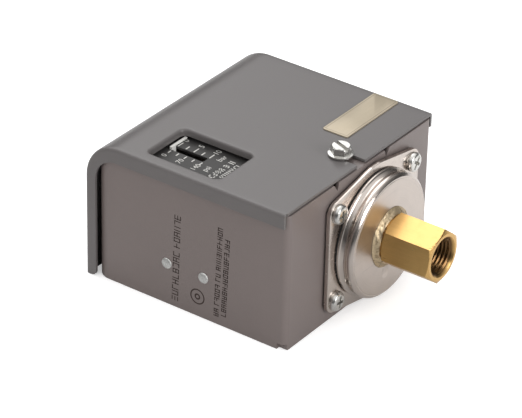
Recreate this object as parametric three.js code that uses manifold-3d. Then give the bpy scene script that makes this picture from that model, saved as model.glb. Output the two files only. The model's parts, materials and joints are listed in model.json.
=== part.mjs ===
// Pressure switch with a front cover, a range scale and a quarter-inch pressure port.
//
// It lies on its back: +Z comes out of the front cover, +X runs along the pressure port
// (down, on a switch that hangs on a panel), and -Y is the side wall with the two rivets.
// The origin is the middle of the flat back plate's outer face. Lengths are millimetres.

import * as THREE from "three";
import { mergeVertices } from "three/addons/utils/BufferGeometryUtils.js";
import Module from "manifold-3d";

const wasm = await Module();
wasm.setup();

// ---------------------------------------------------------------- driving dimensions

// Case and sheet metal.
const caseLength = 83.6; // over the cover's end wall and the chassis's end wall, along X
const caseWidth = 87; // over the cover's two lips, along Y
const caseHeight = 53.5; // back plate to cover front, along Z
const coverT = 1; // cover sheet
const sheetT = 1.2; // chassis sheet
const slip = 0.3; // clearance between pieces that move past each other
const seat = 0.05; // gap between flat faces that are fastened together
const reach = 1; // how far a cutting tool runs past the face it leaves

// Cover.
const coverBend = 14.4; // outer radius between the front and the end wall
const coverSetback = 0.5; // front sheet short of the chassis's end wall
const coverFoot = 0; // end wall's lower edge above the back plate's outer face
const frontLip = 5.6; // side lip's width below the front
const endLip = 4.4; // side lip's width along the end wall
const lipArc = 9; // radius of the lip's inner corner
const lipSetback = 0.8; // lip's end short of the chassis's end wall
const lipFootArc = 2; // rounded lower corner of the end lip
const coverScrewInset = 8.8; // cover screw's axis in from the chassis's end wall
const coverScrewR = 2;
const accessR = 6; // screwdriver hole in the cover's end wall

// Window and scale.
const windowX = -4.55; // middle of the window
const windowInset = 15.55; // middle of the window in from the cover's rivet side
const windowLength = 29.5;
const windowWidth = 20.3;
const windowCorner = 2.2;
const windowDepth = 2.6; // depth of the turned-in rim
const scaleDepth = 3.9; // scale face below the cover's front
const scaleT = 0.8;
const scaleMargin = 4.2; // scale plate past the window's ends
const scaleScrewR = 1.3;
const scaleScrewInset = 1.8; // scale screws' axes in from the spring frame
const pointerBar = 1; // width and thickness of the pointer strip
const pointerStem = 2.4; // width of the pointer's stem
const pointerStart = -18.3; // pointer at the low end of the scale
const rangeTravel = 11.43; // nine turns of a 1.27 mm thread

// Nameplate.
const nameplateInset = 18.55; // middle of the plate in from the chassis's end wall
const nameplateLength = 10.3;
const nameplateWidth = 31.4;
const nameplateSide = 1.7; // plate's end in from the cover's far side
const nameplateT = 0.4;

// Chassis.
const topGap = 9.4; // chassis's top wall in from the cover's end wall
const topWallHeight = 47;
const chassisBend = 2.2; // outer radius of the chassis's upright corners
const sideGap = 2.8; // side walls' curled ends in from the cover's end wall
const sideCurl = 6; // outer radius of those curled ends
const tabHalf = 13; // half width of the tab that takes the cover screw
const tabLength = 13.8;
const notchWidth = 4;
const notchDepth = 2.8;
const reliefLength = 3.4; // notch at the foot of each right-hand corner, along X
const reliefWidth = 1.5;
const reliefHeight = 2.3;
const conduitR = 11.1; // half-inch conduit hole
const conduitX = -18.5;
const conduitZ = 26;
const rivetZ = 16;
const rivetSpacing = 15.4;
const rivetR = 1.4;
const panelHoleR = 2.3;

// Pressure element.
const portOffset = 8.8; // port's axis back from the plunger's axis, along Y
const portZ = 25.5;
const gasketT = 0.5;
const flangeT = 1.6;
const flangeHalfY = 26.4;
const flangeHalfZ = 21.6;
const flangeCorner = 4.5;
const flangeBulgeR = 25.4;
const flangeScrewY = 22;
const flangeScrewZ = 17;
const flangeScrewR = 1.9;
const flangeHoleR = 13;
const capFootR = 23;
const capFaceR = 20.9;
const capT = 1.2;
const capRise = 8.8; // cap face past the chassis's end wall
const diaphragmT = 0.5;
const diaphragmRise = 2.25;
const followerR = 11;
const followerT = 1.4;
const pushRodR = 3;
const neckR = 8.6;
const brazeR = 10.2;
const brazeRise = 1.5;
const hexStart = 11; // hexagon's first face past the chassis's end wall
const portEnd = 30.3; // port's mouth past the chassis's end wall
const hexFlats = 17.46;
const hexTurn = 21; // degrees from +Y to a corner
const mouthR = 7; // bore of the quarter-inch pipe thread
const mouthDepth = 15;
const throatR = 3.5;
const spigotR = 4.8;

// Lever and its pivot.
const leverBack = 13.8; // lever's face in from the chassis's end wall
const leverT = 2;
const leverHalfZ = 8;
const leverPinInset = 5; // pivot in from the chassis's far inner face
const pinR = 1.6;
const knuckleT = 1.3; // knuckle's wall round the pin
const earGap = 3; // room between the lever's edge and each ear

// Range column.
const rangeOffset = 2.65; // screw's axis past the middle of the window
const rangeZ = 26;
const rangeScrewR = 3.1;
const rangeHeadR = 5;
const rangeHeadT = 5;
const cupT = 0.8; // spring cup on the range nut
const springRoom = 0.2; // clearance round the range spring in its cup
const cupLength = 6;
const nutT = 3.6;
const nutLead = 1.7; // nut's rear face behind the pointer's middle
const rangeSpringR = 6.9; // mean radius
const rangeWireR = 1.1;
const rangeTurns = 7;

// Differential column.
const columnRoom = 0.4; // clearance between the spring cup and the thumbwheel
const diffPlateX = -9; // upright bracket's wheel side
const wheelR = 6.6;
const wheelT = 5.7;
const hubR = 3;
const hubLength = 9;
const ringR = 6.2;
const ringT = 3;
const ringGap = 1.3; // ring's rest distance from the bracket
const diffSpringR = 4.8;
const diffWireR = 0.7;
const diffTurns = 8;

// Switch.
const switchRoom = 1.7; // clearance between the thumbwheel and the switch
const switchX = 2; // middle of the switch
const switchHalfX = 10;
const switchHalfY = 15;
const switchFloor = 20; // underside of the switch
const switchSplit = 30;
const switchTop = 38;
const switchWall = 3;
const plungerR = 2;
const plungerOut = 2.5; // plunger's nose past the switch
const contactY = 7; // contacts either side of the plunger
const stripT = 1;
const stripHalf = 2;
const terminalX = 7;
const terminalScrewR = 1.5;

// ---------------------------------------------------------------- places worked out from them

const left = -caseLength / 2;
const right = caseLength / 2;
const half = caseWidth / 2;
const chassisHalf = half - coverT - slip;
const innerHalf = chassisHalf - sheetT;
const chassisFront = caseHeight - coverT - slip;
const topWallX = left + topGap;
const sideX = left + sideGap;
const coverScrewX = right - coverScrewInset;
const windowY = windowInset - half;
const scaleZ = caseHeight - scaleDepth;
const rangeY = windowY + rangeOffset;
const cupR = rangeSpringR + rangeWireR + springRoom + cupT;
const gasketX = right + seat;
const flangeX = gasketX + gasketT + seat;
const diaphragmX = flangeX + flangeT + seat;
const capX = diaphragmX + diaphragmT + seat;
const capFaceX = right + capRise;
const leverX = right - leverBack - leverT;
const leverPinX = leverX + leverT / 2;
const leverPinY = innerHalf - leverPinInset;
const springSeatX = leverX - slip;
const nutX = pointerStart - nutLead;
const diffY = rangeY + cupR + columnRoom + wheelR;
const switchY = diffY + wheelR + switchRoom + switchHalfY;
const portY = switchY - portOffset;
const switchEndX = switchX + switchHalfX;
const plungerZ = (switchFloor + switchSplit) / 2;
const flangeScrews = [
  [portY - flangeScrewY, portZ - flangeScrewZ],
  [portY + flangeScrewY, portZ - flangeScrewZ],
  [portY - flangeScrewY, portZ + flangeScrewZ],
  [portY + flangeScrewY, portZ + flangeScrewZ],
];
const rivets = [-1, 1].map((side) => [(side * rivetSpacing) / 2, rivetZ]);
const frameFace = seat + sheetT - innerHalf; // spring frame's face in the case
const scaleStart = windowX - windowLength / 2 - scaleMargin;
const scaleEnd = windowX + windowLength / 2 + scaleMargin + 3;
const scaleScrews = [
  [scaleStart + 1.5, frameFace + scaleScrewInset],
  [scaleEnd - 3, frameFace + scaleScrewInset],
];
const panelHoles = [
  [topWallX + 8, -innerHalf + 9],
  [right - 8, -innerHalf + 9],
  [right - 8, innerHalf - 16],
];
const groundAt = [topWallX + 8, innerHalf - 11];
const switchScrews = [-1, 1].map((side) => [switchX - 7, switchY + side * 11.5]);
const contacts = [-1, 1].map((side) => switchY + side * contactY);

// ---------------------------------------------------------------- solids

const POINTS_APART = 1e-4; // vertices nearer than this are one vertex
const QUARTER = 3; // straight steps in a small quarter arc
const BEND = 12; // straight steps in a large quarter arc

// A closed three.js geometry as a solid that can be joined and cut.
function solid(geometry) {
  const loose = geometry.index ? geometry.toNonIndexed() : geometry;
  loose.deleteAttribute("normal");
  loose.deleteAttribute("uv");
  const merged = mergeVertices(loose, POINTS_APART);
  const vertProperties = merged.attributes.position.array;
  const triVerts = new Uint32Array(merged.index.array);
  return new wasm.Manifold(new wasm.Mesh({ numProp: 3, vertProperties, triVerts }));
}

// A solid as a three.js geometry, flat-shaded.
function geometryOf(made) {
  const mesh = made.getMesh();
  const indexed = new THREE.BufferGeometry();
  indexed.setAttribute("position", new THREE.BufferAttribute(mesh.vertProperties, 3));
  indexed.setIndex(new THREE.BufferAttribute(mesh.triVerts, 1));
  const faceted = indexed.toNonIndexed();
  faceted.computeVertexNormals();
  return faceted;
}

// A box between two limits on each axis.
function block([x0, x1], [y0, y1], [z0, z1]) {
  const made = new THREE.BoxGeometry(x1 - x0, y1 - y0, z1 - z0);
  return solid(made.translate((x0 + x1) / 2, (y0 + y1) / 2, (z0 + z1) / 2));
}

// How many sides a round piece of radius r has.
function sidesOf(r) {
  if (r < 4) return 12;
  return r < 12 ? 20 : 36;
}

// A profile of [radius, height] points, anticlockwise, turned about a line along one axis.
// The two numbers in `at` are the line's place on the other two axes.
function turned(profile, axis, at) {
  const sides = sidesOf(Math.max(...profile.map(([r]) => r)));
  const made = new THREE.LatheGeometry(profile.map(([r, h]) => new THREE.Vector2(r, h)), sides);
  if (axis === "x") made.rotateZ(-Math.PI / 2).translate(0, at[0], at[1]);
  if (axis === "y") made.translate(at[0], 0, at[1]);
  if (axis === "z") made.rotateX(Math.PI / 2).translate(at[0], at[1], 0);
  return solid(made);
}

function rod(axis, [from, to], at, r) {
  return turned([[0, from], [r, from], [r, to], [0, to]], axis, at);
}

function ring(axis, [from, to], at, inner, outer) {
  return turned([[inner, from], [outer, from], [outer, to], [inner, to], [inner, from]], axis, at);
}

// A flat outline given a thickness along one axis. On "x" the outline is (y, z), on "y" it is
// (x, z) and on "z" it is (x, y).
function extruded(shape, axis, [from, to], curveSegments = QUARTER) {
  const made = new THREE.ExtrudeGeometry(shape, { depth: to - from, bevelEnabled: false, curveSegments });
  const basis = new THREE.Matrix4();
  const [ux, uy, uz] = [[1, 0, 0], [0, 1, 0], [0, 0, 1]].map((v) => new THREE.Vector3(...v));
  if (axis === "x") made.applyMatrix4(basis.makeBasis(uy, uz, ux)).translate(from, 0, 0);
  if (axis === "y") made.applyMatrix4(basis.makeBasis(ux, uz, uy.negate())).translate(0, to, 0);
  if (axis === "z") made.translate(0, 0, from);
  return solid(made);
}

function roundedRect([u0, u1], [v0, v1], r) {
  const shape = new THREE.Shape();
  shape.moveTo(u0 + r, v0);
  shape.absarc(u1 - r, v0 + r, r, -Math.PI / 2, 0, false);
  shape.absarc(u1 - r, v1 - r, r, 0, Math.PI / 2, false);
  shape.absarc(u0 + r, v1 - r, r, Math.PI / 2, Math.PI, false);
  shape.absarc(u0 + r, v0 + r, r, Math.PI, 1.5 * Math.PI, false);
  return shape;
}

function hexagon([u, v], flats, turnDegrees) {
  const corner = flats / 2 / Math.cos(Math.PI / 6);
  const points = [0, 1, 2, 3, 4, 5].map((k) => {
    const angle = THREE.MathUtils.degToRad(turnDegrees + 60 * k);
    return new THREE.Vector2(u + corner * Math.cos(angle), v + corner * Math.sin(angle));
  });
  return new THREE.Shape(points);
}

function joined(pieces) {
  return pieces.reduce((whole, piece) => whole.add(piece));
}

function cut(whole, tools) {
  return tools.reduce((rest, tool) => rest.subtract(tool), whole);
}

// The centre line of a coil spring along X.
class Coil extends THREE.Curve {
  constructor(from, to, [y, z], radius, turns) {
    super();
    Object.assign(this, { from, to, y, z, radius, turns });
  }

  getPoint(t, target = new THREE.Vector3()) {
    const angle = 2 * Math.PI * this.turns * t;
    const x = this.from + (this.to - this.from) * t;
    return target.set(x, this.y + this.radius * Math.cos(angle), this.z + this.radius * Math.sin(angle));
  }
}

// A coil spring between two flat faces, wound from round wire.
function spring([from, to], at, radius, wireR, turns) {
  const wire = new THREE.Shape();
  wire.absarc(0, 0, wireR, 0, 2 * Math.PI, false);
  const path = new Coil(from + wireR, to - wireR, at, radius, turns);
  const made = new THREE.ExtrudeGeometry(wire, { steps: 9 * turns, curveSegments: 3, extrudePath: path });
  return solid(made);
}

// ---------------------------------------------------------------- finishes

const finish = (color, roughness, metalness) => {
  return () => new THREE.MeshStandardMaterial({ color, roughness, metalness });
};
const greyPaint = finish(0x7a7673, 0.42, 0.1);
const darkPaint = finish(0x3a3836, 0.55, 0.1);
const tanPlate = finish(0xb9ac96, 0.38, 0.6);
const nickel = finish(0xc4bcb0, 0.3, 0.95);
const zinc = finish(0xcfd0d0, 0.35, 0.9);
const springSteel = finish(0x8d8f92, 0.35, 0.9);
const brass = finish(0xc9a24f, 0.28, 0.95);
const braze = finish(0xa8884a, 0.65, 0.7);
const fibre = finish(0x4a4038, 0.9, 0);
const rubber = finish(0x1d1d1d, 0.8, 0);
const whitePaint = finish(0xf0efe9, 0.5, 0);
const blackPlastic = finish(0x2a221d, 0.45, 0);
const whitePlastic = finish(0xe6e3da, 0.45, 0);
const greenZinc = finish(0x4f7f4a, 0.4, 0.6);

// ---------------------------------------------------------------- chassis and its fixed pieces

// The rounding that takes the front corner off both side walls, inside the cover's bend.
function frontCornerTool() {
  const shape = new THREE.Shape();
  const x = left + coverBend;
  const z = caseHeight - coverBend;
  const r = coverBend - coverT - slip;
  shape.moveTo(left, z);
  shape.lineTo(x - r, z);
  shape.absarc(x, z, r, Math.PI, Math.PI / 2, true);
  shape.lineTo(x, chassisFront + reach);
  shape.lineTo(left, chassisFront + reach);
  return extruded(shape, "y", [-chassisHalf - reach, chassisHalf + reach]);
}

// The chassis seen from the front, shrunk on all sides: wide curls at the left, tight bends at the right.
function chassisOutline(shrink) {
  const shape = new THREE.Shape();
  const bend = chassisBend - shrink;
  const curl = sideCurl - shrink;
  const bendX = right - chassisBend;
  const bendY = chassisHalf - chassisBend;
  const curlX = sideX + sideCurl;
  const curlY = chassisHalf - sideCurl;
  shape.moveTo(curlX, -chassisHalf + shrink);
  shape.absarc(bendX, -bendY, bend, -Math.PI / 2, 0, false);
  shape.absarc(bendX, bendY, bend, 0, Math.PI / 2, false);
  shape.absarc(curlX, curlY, curl, Math.PI / 2, Math.PI, false);
  shape.absarc(curlX, -curlY, curl, Math.PI, 1.5 * Math.PI, false);
  return shape;
}

function chassis() {
  const shell = extruded(chassisOutline(0), "z", [0, chassisFront]);
  const above = chassisFront + reach;
  const notch = (side) =>
    new THREE.Shape([
      new THREE.Vector2(side * tabHalf, above),
      new THREE.Vector2(side * (tabHalf + notchWidth), above),
      new THREE.Vector2(side * (tabHalf + notchWidth / 3), chassisFront - notchDepth),
    ]);
  const mouthHalf = chassisHalf - sideCurl;
  const open = cut(shell, [
    extruded(chassisOutline(sheetT), "z", [sheetT, above]),
    frontCornerTool(),
    block([sideX - reach, sideX + sheetT + reach], [-mouthHalf, mouthHalf], [sheetT, above]),
  ]);
  const topWallHalf = innerHalf + sheetT / 2;
  const topWallZ = [sheetT / 2, topWallHeight];
  const topWall = block([topWallX, topWallX + sheetT], [-topWallHalf, topWallHalf], topWallZ);
  const tabStart = right - tabLength;
  const tab = block([tabStart, right], [-tabHalf, tabHalf], [chassisFront - sheetT, chassisFront]);
  const wall = [right - sheetT - reach, right + reach];
  const tools = [
    ...[-1, 1].map((side) => extruded(notch(side), "x", wall)),
    ...[-1, 1].map((side) => {
      const y = [side * (chassisHalf - reliefWidth), side * (chassisHalf + reach)].sort((a, b) => a - b);
      return block([right - reliefLength, right + reach], y, [-reach, reliefHeight]);
    }),
    rod("z", [chassisFront - sheetT - reach, above], [coverScrewX, 0], coverScrewR + slip),
    rod("x", wall, [portY, portZ], pushRodR + 2 * slip),
    ...flangeScrews.map((at) => rod("x", wall, at, flangeScrewR + slip)),
    rod("y", [innerHalf - reach, chassisHalf + reach], [conduitX, conduitZ], conduitR),
    rod("x", [topWallX - reach, topWallX + sheetT + reach], [rangeY, rangeZ], rangeScrewR + slip),
    ...rivets.map((at) => rod("y", [-chassisHalf - reach, -innerHalf + reach], at, rivetR + slip)),
    ...panelHoles.map((at) => rod("z", [-reach, sheetT + reach], at, panelHoleR)),
    rod("z", [-reach, sheetT + reach], groundAt, panelHoleR),
  ];
  return cut(open.add(topWall).add(tab), tools);
}

// A rivet through the chassis's side wall and the spring frame: its head is outside.
function sideRivet(at) {
  const head = { r: 2.05, rise: 0.75 };
  const outer = -chassisHalf - seat;
  const inner = -innerHalf + 2 * seat + sheetT;
  return turned(
    [
      [0, outer - head.rise],
      [head.r * 0.6, outer - head.rise * 0.85],
      [head.r, outer - head.rise * 0.3],
      [head.r, outer],
      [rivetR, outer],
      [rivetR, inner],
      [rivetR + 0.5, inner],
      [rivetR + 0.3, inner + 0.6],
      [0, inner + 0.6],
    ],
    "y",
    at,
  );
}

// An angle of sheet on the side wall: its flange carries the scale plate.
function springFrame() {
  const web = [-innerHalf + seat, -innerHalf + seat + sheetT];
  const under = scaleZ - scaleT - 2 * seat;
  const span = [scaleStart, scaleEnd];
  const flange = block(span, [web[0], rangeY - pointerStem - 1], [under - sheetT, under]);
  const tools = [
    ...rivets.map((at) => rod("y", [web[0] - reach, web[1] + reach], at, rivetR + slip)),
    ...scaleScrews.map((at) => rod("z", [under - sheetT - reach, under + reach], at, scaleScrewR + slip)),
  ];
  return cut(block(span, web, [8, under]).add(flange), tools);
}

function scalePlate() {
  const far = windowY + windowWidth / 2 + scaleMargin;
  const outline = roundedRect([scaleStart, scaleEnd], [-innerHalf + slip, far], 1);
  const slotEnd = pointerStart + rangeTravel + pointerStem;
  const slotHalf = pointerStem / 2 + slip;
  const slot = roundedRect([pointerStart - 1.7, slotEnd], [rangeY - slotHalf, rangeY + slotHalf], 0.8);
  const through = [scaleZ - scaleT - reach, scaleZ + reach];
  const tools = scaleScrews.map((at) => rod("z", through, at, scaleScrewR + slip));
  tools.push(extruded(slot, "z", [scaleZ - scaleT - reach, scaleZ + reach]));
  return cut(extruded(outline, "z", [scaleZ - scaleT, scaleZ]), tools);
}

// A slotted screw that stands along +Z or +X: shank below the seat, low domed head above it.
function slottedScrew({ axis, at, seatAt, headR, headT, shankR, shankLength, slot = 0.8 }) {
  const body = turned(
    [
      [0, seatAt - shankLength],
      [shankR, seatAt - shankLength],
      [shankR, seatAt],
      [headR, seatAt],
      [headR, seatAt + headT * 0.55],
      [headR * 0.7, seatAt + headT],
      [0, seatAt + headT],
    ],
    axis,
    at,
  );
  const deep = [seatAt + headT * 0.5, seatAt + headT + reach];
  const across = (middle, width) => [middle - width / 2, middle + width / 2];
  const long = 2 * headR + 2 * reach;
  if (axis === "x") return body.subtract(block(deep, across(at[0], slot), across(at[1], long)));
  return body.subtract(block(across(at[0], long), across(at[1], slot), deep));
}

function scaleScrew(at) {
  return slottedScrew({
    axis: "z",
    at,
    seatAt: scaleZ + seat,
    headR: 2.1,
    headT: 0.9,
    shankR: scaleScrewR,
    shankLength: scaleT + sheetT + 2,
    slot: 0.6,
  });
}

// ---------------------------------------------------------------- cover

function coverSection() {
  const shape = new THREE.Shape();
  const cx = left + coverBend;
  const cz = caseHeight - coverBend;
  shape.moveTo(left + coverT, coverFoot);
  shape.lineTo(left + coverT, cz);
  shape.absarc(cx, cz, coverBend - coverT, Math.PI, Math.PI / 2, true);
  shape.lineTo(right - coverSetback, caseHeight - coverT);
  shape.lineTo(right - coverSetback, caseHeight);
  shape.absarc(cx, cz, coverBend, Math.PI / 2, Math.PI, false);
  shape.lineTo(left, coverFoot);
  return shape;
}

function coverLip() {
  const shape = new THREE.Shape();
  const edgeX = left + endLip;
  const edgeZ = caseHeight - frontLip;
  const endX = right - lipSetback;
  shape.moveTo(left, coverFoot);
  shape.absarc(edgeX - lipFootArc, coverFoot + lipFootArc, lipFootArc, -Math.PI / 2, 0, false);
  shape.absarc(edgeX + lipArc, edgeZ - lipArc, lipArc, Math.PI, Math.PI / 2, true);
  shape.lineTo(endX, edgeZ);
  shape.lineTo(endX, caseHeight);
  shape.absarc(left + coverBend, caseHeight - coverBend, coverBend, Math.PI / 2, Math.PI, false);
  return shape;
}

function windowOutline(grow) {
  const x = windowLength / 2 + grow;
  const y = windowWidth / 2 + grow;
  return roundedRect([windowX - x, windowX + x], [windowY - y, windowY + y], windowCorner + grow);
}

function cover() {
  const through = [caseHeight - windowDepth - reach, caseHeight + reach];
  const slotHalf = coverScrewR + slip + 0.1;
  const whole = joined([
    extruded(coverSection(), "y", [-half, half], BEND),
    extruded(coverLip(), "y", [-half, coverT - half], BEND),
    extruded(coverLip(), "y", [half - coverT, half], BEND),
    extruded(windowOutline(coverT), "z", [caseHeight - windowDepth, caseHeight]),
  ]);
  return cut(whole, [
    extruded(windowOutline(0), "z", through),
    rod("z", through, [coverScrewX, 0], slotHalf),
    block([coverScrewX, right + reach], [-slotHalf, slotHalf], through),
    rod("x", [left - reach, left + coverT + reach], [rangeY, rangeZ], accessR),
  ]);
}

function nameplate() {
  const x = right - nameplateInset;
  const y1 = half - nameplateSide;
  const span = [x - nameplateLength / 2, x + nameplateLength / 2];
  const outline = roundedRect(span, [y1 - nameplateWidth, y1], 0.5);
  return extruded(outline, "z", [caseHeight + seat, caseHeight + seat + nameplateT]);
}

// A fibre sheet stuck to the inside of the cover's front, over the terminals.
function coverInsulator() {
  const under = caseHeight - coverT - seat;
  const outline = roundedRect([switchX - 18, switchX + 16], [switchY - 17, innerHalf - 1], 3);
  return extruded(outline, "z", [under - 0.5, under]);
}

// A hexagon-head screw with a wide washer face, loose in the cover's open slot.
function coverScrew() {
  const under = caseHeight + slip;
  const washerT = 0.9;
  const headT = 2.6;
  const shank = rod("z", [chassisFront - sheetT - 5, under + seat], [coverScrewX, 0], coverScrewR);
  const washer = rod("z", [under, under + washerT], [coverScrewX, 0], 4.4);
  const hex = extruded(hexagon([coverScrewX, 0], 6.35, 12), "z", [under, under + washerT + headT]);
  const top = under + washerT + headT;
  const slot = block([coverScrewX - 5, coverScrewX + 5], [-0.6, 0.6], [top - 1.2, top + reach]);
  return joined([shank, washer, hex]).subtract(slot);
}

// ---------------------------------------------------------------- pressure element

// Tangent lines between four ear corners and a round bulge, as tight as a stretched band.
function flangeOutline(shrink) {
  const y = flangeHalfY - flangeCorner;
  const z = flangeHalfZ - flangeCorner;
  const corner = flangeCorner - shrink;
  const bulge = flangeBulgeR - shrink;
  const lean = Math.atan2(z, y) + Math.acos((bulge - corner) / Math.hypot(y, z));
  const arcs = [
    [y, z, corner, 0, lean],
    [0, 0, bulge, lean, Math.PI - lean],
    [-y, z, corner, Math.PI - lean, Math.PI],
    [-y, -z, corner, Math.PI, Math.PI + lean],
    [0, 0, bulge, Math.PI + lean, 2 * Math.PI - lean],
    [y, -z, corner, 2 * Math.PI - lean, 2 * Math.PI],
  ];
  const shape = new THREE.Shape();
  for (const [u, v, radius, from, to] of arcs) {
    shape.absarc(portY + u, portZ + v, radius, from, to, false);
  }
  return shape;
}

function earedPlate([from, to], shrink, holeR) {
  const through = [from - reach, to + reach];
  const tools = flangeScrews.map((screw) => rod("x", through, screw, flangeScrewR + slip));
  tools.push(rod("x", through, [portY, portZ], holeR));
  return cut(extruded(flangeOutline(shrink), "x", [from, to]), tools);
}

const flangeGasket = () => earedPlate([gasketX, gasketX + gasketT], 0.6, flangeHoleR);
const flangePlate = () => earedPlate([flangeX, flangeX + flangeT], 0, flangeHoleR);

// A thin dished disc, clamped by its rim between the plate and the cap.
function diaphragm() {
  const rimR = capFootR - 0.3;
  const flatR = followerR + 0.6;
  const slopeR = capFaceR - 2;
  const low = diaphragmX;
  const high = diaphragmX + diaphragmRise;
  const profile = [
    [0, high],
    [flatR, high],
    [slopeR, low],
    [rimR, low],
    [rimR, low + diaphragmT],
    [slopeR + 0.1, low + diaphragmT],
    [flatR + 0.1, high + diaphragmT],
    [0, high + diaphragmT],
  ];
  return turned(profile, "x", [portY, portZ]);
}

// The drawn cap: a rolled foot, a tapered wall, a rounded shoulder and a flat face.
function pressureCap() {
  const wallR = capFootR - 0.5;
  const shoulder = 2.2;
  const inside = capFaceX - capT;
  const profile = [
    [wallR - capT, capX],
    [capFootR, capX],
    [capFootR, capX + 1],
    [wallR, capX + 1.3],
    [wallR - 0.2, capFaceX - shoulder],
    [wallR - 0.5, capFaceX - 0.9],
    [capFaceR, capFaceX],
    [spigotR + slip, capFaceX],
    [spigotR + slip, inside],
    [wallR - capT - 0.8, inside],
    [wallR - capT, inside - 1],
    [wallR - capT, capX],
  ];
  return turned(profile, "x", [portY, portZ]);
}

// The fillet of braze between the cap's face and the fitting's neck.
function brazeRing() {
  const base = capFaceX + seat;
  const inner = neckR + slip;
  const profile = [
    [inner, base],
    [brazeR, base],
    [brazeR - 0.35, base + brazeRise * 0.6],
    [inner + 0.3, base + brazeRise],
    [inner, base + brazeRise],
    [inner, base],
  ];
  return turned(profile, "x", [portY, portZ]);
}

// The hexagonal fitting: spigot, neck, chamfered hexagon and the port's bore.
function pipeFitting() {
  const at = [portY, portZ];
  const base = capFaceX + seat;
  const end = right + portEnd;
  const start = right + hexStart;
  const chamfer = 0.9;
  const cornerR = hexFlats / 2 / Math.cos(Math.PI / 6);
  const faceR = hexFlats / 2 - 0.15;
  const barrelProfile = [
    [0, start],
    [faceR, start],
    [cornerR, start + chamfer],
    [cornerR, end - chamfer],
    [faceR, end],
    [0, end],
  ];
  const barrel = turned(barrelProfile, "x", at);
  const hex = extruded(hexagon(at, hexFlats, hexTurn), "x", [start, end]).intersect(barrel);
  const whole = joined([
    hex,
    rod("x", [base, start + seat], at, neckR),
    rod("x", [capFaceX - capT, base + seat], at, spigotR),
  ]);
  const bore = turned(
    [
      [0, base - capT - reach],
      [throatR, base - capT - reach],
      [throatR, end - mouthDepth - 2],
      [mouthR - 0.4, end - mouthDepth],
      [mouthR - 0.4, end - 1],
      [mouthR, end - 0.6],
      [mouthR, end + reach],
      [0, end + reach],
    ],
    "x",
    at,
  );
  return whole.subtract(bore);
}

function flangeScrew(at) {
  return slottedScrew({
    axis: "x",
    at,
    seatAt: flangeX + flangeT + seat,
    headR: 3.5,
    headT: 2.2,
    shankR: flangeScrewR,
    shankLength: flangeT + gasketT + sheetT + 3,
  });
}

const followerX = diaphragmX + 0.5;
const followerDisc = () => rod("x", [followerX, followerX + followerT], [portY, portZ], followerR);
const pushRod = () => rod("x", [leverX + leverT + slip, followerX - seat], [portY, portZ], pushRodR);

// ---------------------------------------------------------------- lever and its pivot

const leverSpan = [portZ - leverHalfZ, portZ + leverHalfZ];
const earLow = leverSpan[0] - earGap;
const earHigh = leverSpan[1] + earGap;

// A flat bar that swings on the pin: both springs and the push rod press on it.
function lever() {
  const at = [leverPinX, leverPinY];
  const bar = block([leverX, leverX + leverT], [rangeY - 9, leverPinY], leverSpan);
  const inset = 0.6;
  const stiffener = block(
    [leverX + leverT - reach, leverX + leverT + 2.5],
    [rangeY - 9 + inset, switchY - 13],
    [leverSpan[1] - inset - sheetT, leverSpan[1] - inset],
  );
  const knuckle = rod("z", leverSpan, at, pinR + slip + knuckleT);
  const tools = [
    rod("z", [leverSpan[0] - reach, leverSpan[1] + reach], at, pinR + slip),
    rod("x", [leverX - reach, leverX + leverT + reach], [switchY, plungerZ], 1.5 + slip),
  ];
  return cut(joined([bar, stiffener, knuckle]), tools);
}

// A channel welded to the far wall: its two ears hold the lever's pin.
function leverBracket() {
  const web = [innerHalf - seat - sheetT, innerHalf - seat];
  const x = [leverPinX - 6, leverPinX + 6];
  const ear = (z) => block(x, [leverPinY - 4.5, web[1]], z);
  const low = earLow - sheetT;
  const high = earHigh + sheetT;
  const whole = joined([block(x, web, [low, high]), ear([low, earLow]), ear([earHigh, high])]);
  return whole.subtract(rod("z", [low - reach, high + reach], [leverPinX, leverPinY], pinR + slip));
}

function pivotPin() {
  const top = earHigh + sheetT + seat;
  const bottom = earLow - sheetT - 2.2;
  const headR = pinR + 1.2;
  const profile = [
    [0, bottom],
    [pinR, bottom],
    [pinR, top],
    [headR, top],
    [headR, top + 0.7],
    [headR - 0.7, top + 1.1],
    [0, top + 1.1],
  ];
  return turned(profile, "z", [leverPinX, leverPinY]);
}

// A spring clip round a shaft, open on one side.
function clip(axis, [from, to], [u, v], inner, outer) {
  const open = inner * 0.7;
  const gap =
    axis === "x"
      ? block([from - reach, to + reach], [u - open, u + open], [v, v + outer + reach])
      : block([u - open, u + open], [v - outer - reach, v], [from - reach, to + reach]);
  return ring(axis, [from, to], [u, v], inner, outer).subtract(gap);
}

const pivotClip = () => {
  const top = earLow - sheetT - seat;
  return clip("z", [top - 0.7, top], [leverPinX, leverPinY], pinR + 0.15, 3.4);
};

// The screw through the lever that presses the switch's plunger, with its locknut.
function tripScrew() {
  const tip = switchEndX + plungerOut + slip;
  const head = leverX + leverT + 3.1;
  return turned(
    [[0, tip], [0.9, tip], [1.5, tip + 0.6], [1.5, head], [2.6, head], [2.6, head + 1.6], [0, head + 1.6]],
    "x",
    [switchY, plungerZ],
  ).subtract(block([head + 0.8, head + 3], [switchY - 0.4, switchY + 0.4], [plungerZ - 4, plungerZ + 4]));
}

function tripLocknut() {
  const from = leverX + leverT + seat;
  const nut = extruded(hexagon([switchY, plungerZ], 5.6, 30), "x", [from, from + 2.6]);
  return nut.subtract(rod("x", [from - reach, from + 4], [switchY, plungerZ], 1.65));
}

// The dished washer that centres the range spring on the lever.
function springSeat() {
  return turned(
    [
      [0, springSeatX - 3.2],
      [rangeSpringR - rangeWireR - 1.2, springSeatX - 3.2],
      [rangeSpringR - rangeWireR - slip, springSeatX - 2.2],
      [rangeSpringR - rangeWireR - slip, springSeatX - 1.4],
      [rangeSpringR + rangeWireR + 0.6, springSeatX - 1.4],
      [rangeSpringR + rangeWireR + 0.6, springSeatX],
      [0, springSeatX],
    ],
    "x",
    [rangeY, rangeZ],
  );
}

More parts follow.
